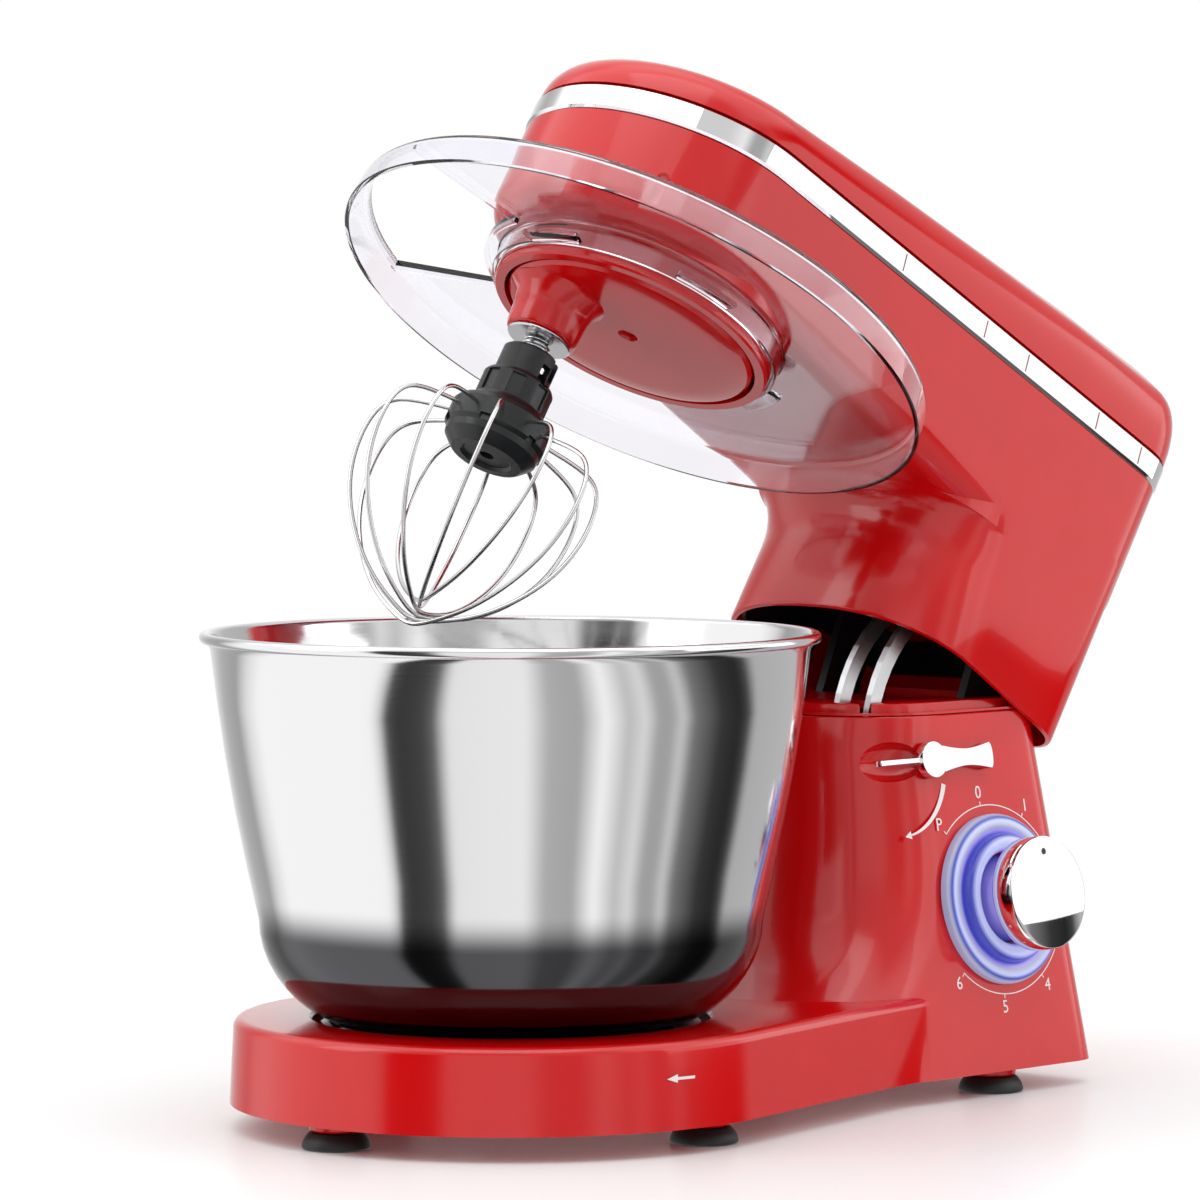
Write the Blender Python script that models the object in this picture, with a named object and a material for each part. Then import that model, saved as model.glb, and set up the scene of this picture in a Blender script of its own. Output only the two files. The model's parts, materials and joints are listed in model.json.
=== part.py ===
"""Tilt-head stand mixer, modelled as an assembly of separate pieces.

Units are metres, +Z is up, the bowl is at -Y and the speed knob is at +X.  Everything above the
hinge is drawn with the head closed and level, and hangs from an empty that holds the head raised.
"""
import math

import bmesh
import bpy
from mathutils import Matrix, Vector

# Driving dimensions ---------------------------------------------------------------------------

GAP = 0.0003              # between faces that touch
RUNNING_GAP = 0.0005      # between pieces that turn or slide in one another

# Bowl and its seat
BOWL_RIM_RADIUS = 0.124
BOWL_RIM_TOP = 0.1975
BOWL_BOTTOM = 0.0395
BOWL_WALL = 0.0012
BOWL_BEAD = 0.0018        # radius of the rolled edge
BOWL_SIDE_RADIUS = 0.1005 # where the upright side starts
BOWL_CURVE_HEIGHT = 0.0435
BOWL_FOOT_RADIUS = 0.066
BOWL_FOOT_WALL = 0.003
BOWL_LUG_LENGTH = 0.005
BOWL_LUG_HEIGHT = 0.0022
BOWL_LUG_ANGLE = math.radians(24)
LUG_COUNT = 3
UNLOCK_TURN = math.radians(30)
GASKET_HEIGHT = 0.0012
SEAT_RING_WALL = 0.003
SEAT_RING_RADIUS = BOWL_FOOT_RADIUS + BOWL_LUG_LENGTH + 0.002 + SEAT_RING_WALL
SEAT_MARGIN = 0.0035      # round the seat ring
SEAT_TAB_THICKNESS = 0.0012

# Base
GROUND_CLEARANCE = 0.010  # underside of the base above the table
BASE_RADIUS = 0.1123
BASE_TOP = 0.044
BASE_DRAFT = 0.0015       # the disc is this much smaller at its top
BASE_EDGE = 0.004         # rounding of the disc's top edge
WALL = 0.0026
SEAT_DEPTH = 0.009
FOOT_RADIUS = 0.0135
FOOT_HEIGHT = 0.0065
FOOT_STEM_RADIUS = 0.004
POST_RADIUS = 0.0105
FRONT_FOOT_INSET = 0.0168
MIDDLE_FOOT_INSET = 0.0203
MIDDLE_FOOT_ANGLE = math.radians(10.33)
REAR_FOOT_INSET = 0.047
REAR_FOOT_OUT = 0.009     # the rear feet stand this far outside the column's top
GLAND_X = 0.030
GLAND_RADIUS = 0.0066
GLAND_BORE = 0.0040       # room for a mains cord
GLAND_Z = 0.035

# Column
COLUMN_TOP = 0.1575
COLUMN_HALF_WIDTH = 0.0600
COLUMN_STRAIGHT = 0.0115   # upright stretch of the side walls below the top
BOWL_TO_COLUMN = 0.022
COLUMN_DEPTH = 0.114
COLUMN_NOSE_DEPTH = 0.048
COLUMN_REAR_RADIUS = 0.018
SIDE_LEAN = math.radians(10.0)
REAR_LEAN = math.radians(4.0)
FRONT_SQUARENESS = 2.3
COLLAR_HEIGHT = 0.005
COLLAR_INSET = 0.004
CAP_THICKNESS = 0.003
CAP_SKIRT = 0.006

# Hinge and tilt
HINGE_BACK = 0.084        # behind the column's front
HINGE_DROP = 0.0145       # below the column's top
TILT = math.radians(32.7)
HINGE_PIN_RADIUS = 0.004
LEG_X = 0.040
LEG_THICKNESS = 0.004
LEG_TO_BRACKET = 0.004
BRACKET_THICKNESS = 0.003
LEG_RADIUS = 0.011

# Latch arms, curved about the hinge
ARM_RADIUS = 0.063
ARM_WIDTH = 0.0065
ARM_THICKNESS = 0.003
ARM_X = (0.024, 0.041)
ARM_BELOW = math.radians(6)   # the arms still reach this far past the hinge's level when raised
LATCH_PIN_RADIUS = 0.0025

# Release lever
LEVER_BACK = 0.035        # behind the column's front
LEVER_DROP = 0.004        # below the hinge
LEVER_SHAFT_RADIUS = 0.004
LEVER_HANDLE_LENGTH = 0.035
LEVER_HANDLE_END = 0.0075
LEVER_HANDLE_WAIST = 0.0035
LEVER_HANDLE_THICKNESS = 0.004
LEVER_BLADE_LENGTH = 0.032
CAM_CLEARANCE = 0.0016    # from the cam's nose to the latch arms, as the cam's axis leans

# Speed knob
KNOB_BACK = 0.068         # behind the column's front
KNOB_Z = 0.080
KNOB_RADIUS = 0.0235
KNOB_SHANK_RADIUS = 0.0165
KNOB_NECK = 0.006         # from the lit ring to the knob's widening
KNOB_HEAD_HEIGHT = 0.0132
KNOB_HOLE_RADIUS = 0.012
KNOB_SHAFT_DEPTH = 0.0085
KNOB_RING_GAP = 0.003
LIGHT_RADIUS = 0.0355
LIGHT_HEIGHT = 0.009
KNOB_SHAFT_RADIUS = 0.003

# Head casings, closed
HEAD_OVERHANG = 0.003     # each side of the column's top
NOSE_CENTRE_Y = -0.012
HEAD_REAR_OVERHANG = 0.010
HEAD_REAR_RADIUS = 0.026
HEAD_FLOOR_EDGE = 0.014
HEAD_SIDE_HEIGHT = 0.049  # from the floor to the trim band at the planetary axis
PART_LINE_SLOPE = 0.077
TRIM_HEIGHT = 0.0122
TRIM_PROUD = 0.0006
DOME_FRONT = 0.024
DOME_REAR = 0.045
DOME_ROUNDING = 0.046
NECK_GAP = 0.0022         # above the column's top
NECK_REAR_STEP = 0.0055
SHELL_WALL = 0.0022
COLLAR_RADIUS = 0.0595
COLLAR_WALL = 0.0047
ROUND_STEPS = 32          # sides of the large turned pieces
LINER_GAP = 0.0007
LINER_WALL = 0.0018
LINER_DROP = 0.0125       # below the head's floor
LINER_REAR_RISE = 0.0325  # the liner stops this high over the column behind the hinge

# Splash guard, closed
GUARD_OVERHANG = 0.0015   # outside the bowl's rim
GUARD_LIFT = 0.003        # above the bowl's rim
GUARD_TO_HEAD = 0.0015
GUARD_SKIRT = 0.0145
GUARD_WALL = 0.002
GUARD_OPENING = (math.radians(196), math.radians(256))

# Gears
PLANET_MODULE = 0.002
RING_TEETH = 45
PLANET_TEETH = 12
FINAL_MODULE = 0.0015
FINAL_TEETH = 60
SMALL_TEETH = 12
REDUCTION_MODULE = 0.001
REDUCTION_TEETH = 36
MOTOR_TEETH = 12
BACKLASH = 0.00022
GEAR_WIDTH = 0.008
ECCENTRIC_ANGLE = math.radians(243)

# Planetary and beater, closed
DISC_GAP = 0.0013         # round the disc in the collar
DISC_DROP = 0.0015        # below the collar
DISC_THICKNESS = 0.004
SOCKET_LENGTH = 0.020
SOCKET_RADIUS = 0.0155
PLANETARY_SHAFT_RADIUS = 0.006
BEATER_SHAFT_RADIUS = 0.0042
RING_RISE = 0.011         # above the collar's lower edge
CHASSIS_RISE = 0.006      # above the head's floor
CHASSIS_THICKNESS = 0.004
CROSS_PIN_RADIUS = 0.0018
CROSS_PIN_HALF = 0.0098
CROSS_PIN_DROP = 0.0355   # below the disc
WHISK_PUSH = 0.005

# Whisk, closed
HUB_ABOVE_PIN = 0.0075
HUB_RADIUS = 0.0118
HUB_COLLAR_RADIUS = 0.0150
HUB_FLANGE_RADIUS = 0.0215
FLANGE_BELOW_PIN = 0.0205
HUB_BELOW_FLANGE = 0.0205
WHISK_LOOPS = 6
WHISK_RADIUS = 0.0495
WHISK_WIRE_RADIUS = 0.0009
WHISK_TO_BOWL = 0.005     # the lowest wire's tip above the bowl's floor
WHISK_STACK = 0.0022

# Motor
MOTOR_RADIUS = 0.031
MOTOR_HEIGHT = 0.046
MOTOR_WALL = 0.003
ROTOR_RADIUS = 0.020

AXLE_RADIUS = 0.0025
BEARING_RADIUS = 0.0125

# Places that follow from them
SEAT_RADIUS = SEAT_RING_RADIUS + SEAT_MARGIN
SEAT_FLOOR = BASE_TOP - SEAT_DEPTH
FOOT_LOW = SEAT_FLOOR + GAP + GASKET_HEIGHT + GAP
COLUMN_FRONT = BOWL_RIM_RADIUS + BOWL_TO_COLUMN
COLUMN_REAR = COLUMN_FRONT + COLUMN_DEPTH
FRONT_FOOT = (0.0, FRONT_FOOT_INSET - BASE_RADIUS)
MIDDLE_FOOT = ((BASE_RADIUS - MIDDLE_FOOT_INSET) * math.cos(MIDDLE_FOOT_ANGLE),
               (BASE_RADIUS - MIDDLE_FOOT_INSET) * math.sin(MIDDLE_FOOT_ANGLE))
REAR_FOOT = (COLUMN_HALF_WIDTH + REAR_FOOT_OUT, COLUMN_REAR - REAR_FOOT_INSET)
HINGE_Y = COLUMN_FRONT + HINGE_BACK
HINGE_Z = COLUMN_TOP - HINGE_DROP
HINGE_PIN_HALF = LEG_X + LEG_THICKNESS + 0.002
BRACKET_X = LEG_X - LEG_THICKNESS / 2 - LEG_TO_BRACKET
LEVER_Y = COLUMN_FRONT + LEVER_BACK
LEVER_Z = HINGE_Z - LEVER_DROP
KNOB_Y = COLUMN_FRONT + KNOB_BACK
GUARD_RADIUS = BOWL_RIM_RADIUS + GUARD_OVERHANG
GUARD_BOTTOM = BOWL_RIM_TOP + GUARD_LIFT
COLLAR_BOTTOM = GUARD_BOTTOM
COLLAR_BORE = COLLAR_RADIUS - COLLAR_WALL
HEAD_HALF_WIDTH = COLUMN_HALF_WIDTH + HEAD_OVERHANG
HEAD_REAR = COLUMN_REAR + HEAD_REAR_OVERHANG
HEAD_FLOOR = GUARD_BOTTOM + GUARD_SKIRT + GUARD_TO_HEAD
PART_LINE_Z = HEAD_FLOOR + HEAD_SIDE_HEIGHT
NECK_BOTTOM = COLUMN_TOP + NECK_GAP
NECK_REAR = HEAD_REAR - NECK_REAR_STEP
LINER_TOP = HEAD_FLOOR - LINER_DROP
LINER_REAR_CUT = COLUMN_TOP + LINER_REAR_RISE
DISC_RADIUS = COLLAR_BORE - DISC_GAP
DISC_BOTTOM = COLLAR_BOTTOM - DISC_DROP
RING_BOTTOM = COLLAR_BOTTOM + RING_RISE
CHASSIS_BOTTOM = HEAD_FLOOR + CHASSIS_RISE
RING_TOP = CHASSIS_BOTTOM - GAP
FINAL_LOW = CHASSIS_BOTTOM + CHASSIS_THICKNESS + 0.002
REDUCTION_LOW = FINAL_LOW + GEAR_WIDTH + 0.0015
COVER_LOW = REDUCTION_LOW + GEAR_WIDTH + 0.002
COVER_HIGH = COVER_LOW + 0.003
ARM_BLOCK = ((ARM_X[0] - 0.004, ARM_X[1] + 0.004), (HINGE_Y - 0.044, HINGE_Y - 0.016),
             (HEAD_FLOOR - 0.0205, CHASSIS_BOTTOM + 0.001))
CROSS_PIN_Z = DISC_BOTTOM - CROSS_PIN_DROP
HUB_TOP = CROSS_PIN_Z + HUB_ABOVE_PIN
HUB_FLANGE_TOP = CROSS_PIN_Z - FLANGE_BELOW_PIN
HUB_BOTTOM = HUB_FLANGE_TOP - HUB_BELOW_FLANGE
WHISK_TIP = BOWL_BOTTOM + WHISK_TO_BOWL
PLANET_OFFSET = PLANET_MODULE * (RING_TEETH - PLANET_TEETH) / 2
REDUCTION_Y = FINAL_MODULE * (FINAL_TEETH + SMALL_TEETH) / 2
MOTOR_Y = REDUCTION_Y + REDUCTION_MODULE * (REDUCTION_TEETH + MOTOR_TEETH) / 2


# Scene and materials --------------------------------------------------------------------------

def clear_scene():
    for obj in list(bpy.data.objects):
        bpy.data.objects.remove(obj, do_unlink=True)


def material(name, color, roughness, metallic=0.0, alpha=1.0, transmission=0.0):
    mat = bpy.data.materials.new(name)
    mat.use_nodes = True
    mat.diffuse_color = (*color, alpha)
    shader = mat.node_tree.nodes["Principled BSDF"]
    shader.inputs["Base Color"].default_value = (*color, 1.0)
    shader.inputs["Roughness"].default_value = roughness
    shader.inputs["Metallic"].default_value = metallic
    shader.inputs["Alpha"].default_value = alpha
    shader.inputs["Transmission Weight"].default_value = transmission
    return mat


clear_scene()
RED = material("red_plastic", (0.62, 0.005, 0.012), 0.16)
BLACK = material("black_plastic", (0.012, 0.012, 0.013), 0.4)
RUBBER = material("black_rubber", (0.02, 0.02, 0.02), 0.7)
STEEL = material("polished_steel", (0.75, 0.75, 0.76), 0.12, 1.0)
WIRE_STEEL = material("wire_steel", (0.7, 0.7, 0.7), 0.2, 1.0)
GREY_STEEL = material("zinc_steel", (0.62, 0.63, 0.64), 0.4, 1.0)
CHROME = material("chrome", (0.88, 0.88, 0.88), 0.05, 1.0)
CLEAR = material("clear_plastic", (0.86, 0.86, 0.95), 0.05, 0.0, 0.3, 0.9)
LIT = material("lit_plastic", (0.35, 0.38, 0.85), 0.2, 0.0, 0.8, 0.4)
CAST = material("cast_aluminium", (0.5, 0.5, 0.51), 0.5, 1.0)
NYLON = material("nylon", (0.8, 0.78, 0.7), 0.45)
COPPER = material("winding_copper", (0.6, 0.27, 0.1), 0.4, 1.0)
BOARD = material("circuit_board", (0.03, 0.2, 0.06), 0.5)


# Mesh makers ----------------------------------------------------------------------------------

def empty(name, parent=None, location=(0, 0, 0), rotation=(0, 0, 0)):
    obj = bpy.data.objects.new(name, None)
    bpy.context.scene.collection.objects.link(obj)
    obj.parent = parent
    obj.location = location
    obj.rotation_euler = rotation
    return obj


def add(name, bm, mat, parent, location=(0, 0, 0), smooth=35.0):
    """Turns a bmesh into a named object with its faces pointing out."""
    bmesh.ops.remove_doubles(bm, verts=bm.verts[:], dist=1e-7)
    bmesh.ops.recalc_face_normals(bm, faces=bm.faces[:])
    mesh = bpy.data.meshes.new(name)
    bm.to_mesh(mesh)
    bm.free()
    mesh.shade_smooth()
    mesh.set_sharp_from_angle(angle=math.radians(smooth))
    obj = bpy.data.objects.new(name, mesh)
    bpy.context.scene.collection.objects.link(obj)
    obj.parent = parent
    obj.location = location
    if mat:
        mesh.materials.append(mat)
    return obj


def helper(name, bm, parent, location=(0, 0, 0)):
    """A cutter or a lump to be joined on, which isn't a piece itself."""
    obj = add(name, bm, None, parent, location)
    obj.hide_render = True
    obj.display_type = "WIRE"
    return obj


def combine(target, other, operation):
    mod = target.modifiers.new(other.name, "BOOLEAN")
    mod.operation = operation
    mod.object = other
    mod.solver = "EXACT"


def cut(target, *others):
    for other in others:
        combine(target, other, "DIFFERENCE")


def join(target, *others):
    for other in others:
        combine(target, other, "UNION")


def loft(rings):
    """A closed solid through rings of equally many points, capped at both ends."""
    bm = bmesh.new()
    loops = [[bm.verts.new(point) for point in ring] for ring in rings]
    for low, high in zip(loops, loops[1:]):
        for i in range(len(low)):
            j = (i + 1) % len(low)
            bm.faces.new((low[i], low[j], high[j], high[i]))
    bm.faces.new(loops[0][::-1])
    bm.faces.new(loops[-1])
    return bm


def lathe(profile, segments=32):
    """Turns a closed outline of (radius, z) points about Z."""
    bm = bmesh.new()
    verts = [bm.verts.new((radius, 0, z)) for radius, z in profile]
    edges = []
    for first, second in zip(verts, verts[1:] + verts[:1]):
        if first.co.x > 1e-9 or second.co.x > 1e-9:
            edges.append(bm.edges.new((first, second)))
    bmesh.ops.spin(bm, geom=verts + edges, axis=(0, 0, 1), cent=(0, 0, 0),
                   angle=2 * math.pi, steps=segments, use_merge=True)
    bmesh.ops.remove_doubles(bm, verts=bm.verts[:], dist=1e-7)
    return bm


def prism(outline, low, high):
    return loft([[(x, y, low) for x, y in outline], [(x, y, high) for x, y in outline]])


def block(x, y, z):
    """A box from its (low, high) pairs along X, Y and Z."""
    outline = [(x[0], y[0]), (x[1], y[0]), (x[1], y[1]), (x[0], y[1])]
    return prism(outline, z[0], z[1])


def rod(radius, low, high, segments=24):
    return lathe([(0, low), (radius, low), (radius, high), (0, high)], segments)


def tube(outer, inner, low, high, segments=32):
    return lathe([(inner, low), (outer, low), (outer, high), (inner, high)], segments)


def moved(bm, matrix):
    bmesh.ops.transform(bm, matrix=matrix, verts=bm.verts[:])
    return bm


def along_x(bm):
    """Turns a shape drawn about Z so that its axis lies along +X."""
    return moved(bm, Matrix.Rotation(math.pi / 2, 4, "Y"))


def plate_yz(outline, low, high):
    """A plate with its outline given as (y, z), from low to high along X."""
    return loft([[(low, y, z) for y, z in outline], [(high, y, z) for y, z in outline]])


def arc(radius, start, end, steps, centre=(0, 0)):
    angles = [start + (end - start) * i / steps for i in range(steps + 1)]
    return [(centre[0] + radius * math.cos(a), centre[1] + radius * math.sin(a)) for a in angles]


def mirrored(half):
    """A closed outline from its half at x >= 0, which starts and ends at x = 0."""
    return half + [(-x, y) for x, y in half[-2:0:-1]]


def d_outline(half_width, front, rear, depth, rear_radius, squareness=2.0, steps=8):
    """A plan that is rounded in front, straight at its sides and squarer behind."""
    power = 2 / squareness
    half = []
    for i in range(steps):
        t = math.pi / 2 * i / steps
        half.append((half_width * math.sin(t) ** power, front + depth - depth * math.cos(t) ** power))
    half.append((half_width, front + depth))
    corner = (half_width - rear_radius, rear - rear_radius)
    half.append((half_width, (front + depth + corner[1]) / 2))
    half += arc(rear_radius, 0, math.pi / 2, 3, corner)
    half.append((0, rear))
    return mirrored(half)


def gear_outline(module, teeth, phase, internal=False):
    """Flat-flanked teeth, with a tooth centred on the phase angle, or a gap on an internal ring."""
    pitch = module * teeth / 2
    sign = -1 if internal else 1
    tip = pitch + sign * 0.95 * module
    root = pitch - sign * 1.2 * module
    step = 2 * math.pi / teeth
    pitch_half = step / 4 - BACKLASH / pitch
    lean = math.tan(math.radians(20)) * module / pitch
    points = []
    for i in range(teeth):
        centre = phase + (i + (0.5 if internal else 0)) * step
        for radius, half in ((root, pitch_half + 1.2 * lean), (tip, pitch_half - 0.95 * lean)):
            points.append((radius, centre - half))
        for radius, half in ((tip, pitch_half - 0.95 * lean), (root, pitch_half + 1.2 * lean)):
            points.append((radius, centre + half))
    return [(radius * math.cos(a), radius * math.sin(a)) for radius, a in points]


def wire(name, points, radius, mat, parent, sides=3):
    """A round wire through the points, as a curve with a bevel and filled ends."""
    curve = bpy.data.curves.new(name, "CURVE")
    curve.dimensions = "3D"
    curve.bevel_depth = radius
    curve.bevel_resolution = sides - 2
    curve.use_fill_caps = True
    spline = curve.splines.new("POLY")
    spline.points.add(len(points) - 1)
    for target, point in zip(spline.points, points):
        target.co = (*point, 1)
    curve.materials.append(mat)
    obj = bpy.data.objects.new(name, curve)
    bpy.context.scene.collection.objects.link(obj)
    obj.parent = parent
    return obj


# Frames and axes ------------------------------------------------------------------------------

MIXER = empty("mixer")
HEAD_AXIS = empty("head_axis", MIXER, (0, HINGE_Y, HINGE_Z), (-TILT, 0, 0))
HEAD = empty("head_closed_frame", HEAD_AXIS, (0, -HINGE_Y, -HINGE_Z))
PLANETARY_AXIS = empty("planetary_axis", HEAD)
BEATER_AXIS = empty("beater_axis", PLANETARY_AXIS,
                    (PLANET_OFFSET * math.cos(ECCENTRIC_ANGLE), PLANET_OFFSET * math.sin(ECCENTRIC_ANGLE), 0))
REDUCTION_AXIS = empty("reduction_axis", HEAD, (0, REDUCTION_Y, 0))
MOTOR_AXIS = empty("motor_axis", HEAD, (0, MOTOR_Y, 0))


def side_half_width(z):
    """Half the column's width at a height, on its outer face."""
    return COLUMN_HALF_WIDTH + max(0.0, COLUMN_TOP - COLUMN_STRAIGHT - z) * math.tan(SIDE_LEAN)


def wall_axis(name, y, z):
    """An empty on the right-hand wall whose +Z points straight out of the leaning wall."""
    return empty(name, MIXER, (side_half_width(z), y, z), (0, math.pi / 2 - SIDE_LEAN, 0))


GLAND_AXIS = empty("gland_axis", MIXER,
                   (GLAND_X, COLUMN_REAR + (COLUMN_TOP - GLAND_Z) * math.tan(REAR_LEAN), GLAND_Z),
                   (REAR_LEAN - math.pi / 2, 0, 0))
KNOB_AXIS = wall_axis("knob_axis", KNOB_Y, KNOB_Z)
LEVER_AXIS = wall_axis("lever_axis", LEVER_Y, LEVER_Z)


# Base -----------------------------------------------------------------------------------------

def column_outline(z, inset=0.0):
    """The column's plan at a height; its front sweeps forward near the deck."""
    rise = max(0.0, z - BASE_TOP) / (COLUMN_TOP - BASE_TOP)
    sweep = 0.040 * (1 - rise) ** 5 + 0.008 * (1 - rise)
    front = COLUMN_FRONT - sweep + inset
    rear = COLUMN_REAR + (COLUMN_TOP - z) * math.tan(REAR_LEAN) - inset
    half = side_half_width(z) - inset
    return d_outline(half, front, rear, COLUMN_NOSE_DEPTH + sweep / 2 - inset,
                     COLUMN_REAR_RADIUS - inset, FRONT_SQUARENESS)


def column_solid(inset, bottom, top):
    heights = [bottom, BASE_TOP, BASE_TOP + 0.006, BASE_TOP + 0.014, BASE_TOP + 0.026,
               BASE_TOP + 0.045, COLUMN_TOP - COLUMN_STRAIGHT, top]
    return loft([[(x, y, z) for x, y in column_outline(z, inset)] for z in heights])


def slab_outline(radius, inset):
    """The round front of the base, running back in straight sides into the column."""
    side = (side_half_width(GROUND_CLEARANCE) + 0.002 - inset, COLUMN_FRONT - 0.016)
    distance = math.hypot(*side)
    tangent = math.atan2(side[1], side[0]) - math.acos(radius / distance)
    front = arc(radius, -math.pi / 2, tangent, 14)
    tail = (side_half_width(BASE_TOP) - 0.006 - inset, COLUMN_REAR - 0.050)
    return mirrored(front + [side, tail, (0, tail[1])])


def slab_solid(inset, bottom, top):
    radius = BASE_RADIUS - inset
    rings = []
    for z, shrink in ((bottom, 0), (top - BASE_EDGE, BASE_DRAFT),
                      (top - BASE_EDGE * 0.3, BASE_DRAFT + BASE_EDGE * 0.3), (top, BASE_DRAFT + BASE_EDGE)):
        rings.append([(x, y, z) for x, y in slab_outline(radius - shrink, inset + shrink)])
    return loft(rings)


def base_shell():
    below = GROUND_CLEARANCE - 0.002
    shell = add("base_shell", slab_solid(0, GROUND_CLEARANCE, BASE_TOP), RED, MIXER)
    join(shell, helper("column_outside", column_solid(0, GROUND_CLEARANCE, COLUMN_TOP), MIXER))
    inner_slab = helper("slab_inside", slab_solid(WALL, below, BASE_TOP - SEAT_DEPTH - WALL), MIXER)
    inner_column = helper("column_inside", column_solid(WALL, below, COLUMN_TOP + 0.001), MIXER)
    cut(shell, inner_slab, inner_column)
    cut(shell, helper("seat_recess", rod(SEAT_RADIUS, SEAT_FLOOR, BASE_TOP + 0.01, ROUND_STEPS), MIXER))
    hole = helper("knob_hole", rod(KNOB_HOLE_RADIUS, -0.012, 0.006, 24), KNOB_AXIS)
    cut(shell, hole)
    lever_hole = helper("lever_hole", rod(LEVER_SHAFT_RADIUS + RUNNING_GAP, -0.012, 0.006, 16), LEVER_AXIS)
    cut(shell, lever_hole)
    cut(shell, helper("gland_hole", rod(GLAND_RADIUS + GAP + 0.0002, -0.02, 0.02, 16), GLAND_AXIS))
    return shell


def seat_ring():
    """Steel ring on the seat floor, with tabs that the bowl's lugs slide under."""
    outer = SEAT_RING_RADIUS - SEAT_RING_WALL
    inner_lip = BOWL_FOOT_RADIUS + RUNNING_GAP + 0.0005
    low = SEAT_FLOOR + GAP
    tab_low = low + 0.001 + GASKET_HEIGHT + BOWL_LUG_HEIGHT + 2 * GAP
    ring = add("seat_ring", tube(SEAT_RING_RADIUS, outer, low, tab_low + SEAT_TAB_THICKNESS, 24),
               GREY_STEEL, MIXER)
    for i in range(LUG_COUNT):
        centre = 2 * math.pi * i / LUG_COUNT + UNLOCK_TURN + BOWL_LUG_ANGLE / 2
        start, end = centre - BOWL_LUG_ANGLE / 2, centre + BOWL_LUG_ANGLE / 2
        outline = arc(outer + 0.001, start, end, 4) + arc(inner_lip, end, start, 4)
        tab = prism(outline, tab_low, tab_low + SEAT_TAB_THICKNESS)
        join(ring, helper(f"seat_tab_{i + 1}", tab, MIXER))
    return ring


def posts():
    left = [(-x, y) for x, y in (MIDDLE_FOOT, REAR_FOOT)]
    return [FRONT_FOOT, MIDDLE_FOOT, REAR_FOOT] + left


FOOT_NAMES = ("foot_front", "foot_right", "foot_rear_right", "foot_left", "foot_rear_left")


def base_plate():
    """Closes the base underneath and carries the red posts of the feet."""
    low = GROUND_CLEARANCE + 0.0006
    high = low + 0.0024
    slack = WALL + GAP + 0.0006
    plate = add("base_plate", prism(slab_outline(BASE_RADIUS - slack, slack), low, high), RED, MIXER)
    rear = helper("plate_rear", prism(column_outline(high, slack), low + 0.0001, high - 0.0001), MIXER)
    join(plate, rear)
    for name, (x, y) in zip(FOOT_NAMES, posts()):
        post = rod(POST_RADIUS, FOOT_HEIGHT + GAP, (low + high) / 2, 12)
        join(plate, helper(name + "_post", moved(post, Matrix.Translation((x, y, 0))), MIXER))
        hole = rod(FOOT_STEM_RADIUS + 2 * GAP, 0, high + 0.002, 12)
        cut(plate, helper(name + "_socket", moved(hole, Matrix.Translation((x, y, 0))), MIXER))
    return plate


def suction_feet():
    stem_top = GROUND_CLEARANCE + 0.003
    lip = 0.0016
    profile = [(0, 0), (FOOT_RADIUS, 0), (FOOT_RADIUS, lip), (POST_RADIUS, FOOT_HEIGHT),
               (FOOT_STEM_RADIUS, FOOT_HEIGHT), (FOOT_STEM_RADIUS, stem_top), (0, stem_top)]
    for name, (x, y) in zip(FOOT_NAMES, posts()):
        add(name, lathe(profile, 12), RUBBER, MIXER, (x, y, 0))


def column_cap():
    """Raised collar and top plate of the column, open for the latch arms and the head's legs."""
    top = COLUMN_TOP + COLLAR_HEIGHT
    collar = column_outline(COLUMN_TOP, COLLAR_INSET)
    cap = add("column_cap", prism(collar, COLUMN_TOP - CAP_SKIRT, top), RED, MIXER)
    rim = prism(column_outline(COLUMN_TOP, GAP), COLUMN_TOP + GAP, COLUMN_TOP + GAP + 0.001)
    join(cap, helper("cap_rim", rim, MIXER))
    hollow = prism(column_outline(COLUMN_TOP, COLLAR_INSET + 0.0022), 0.1, top - CAP_THICKNESS)
    cut(cap, helper("cap_hollow", hollow, MIXER))
    span = LEG_X + LEG_THICKNESS + 0.003
    legs = block((-span, span), (HINGE_Y - 0.021, HINGE_Y + 0.0225), (0.12, 0.2))
    cut(cap, helper("leg_opening", legs, MIXER))
    arms_y = HINGE_Y - ARM_RADIUS
    slot = block((ARM_X[0] - 0.004, ARM_X[1] + 0.004), (arms_y - 0.0055, arms_y + 0.0095), (0.12, 0.2))
    cut(cap, helper("arm_opening", slot, MIXER))
    return cap


def plate_screws():
    low = GROUND_CLEARANCE - 0.0012
    front, rear = (0.050, 0.0373 - BASE_RADIUS), (COLUMN_HALF_WIDTH + 0.002, COLUMN_FRONT + 0.004)
    spots = [front, (-front[0], front[1]), rear, (-rear[0], rear[1])]
    for i, (x, y) in enumerate(spots):
        head_top = GROUND_CLEARANCE + 0.0003
        profile = [(0, low), (0.0035, low), (0.0035, head_top), (0, head_top)]
        add(f"plate_screw_{i + 1}", lathe(profile, 12), GREY_STEEL, MIXER, (x, y, 0))


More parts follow.
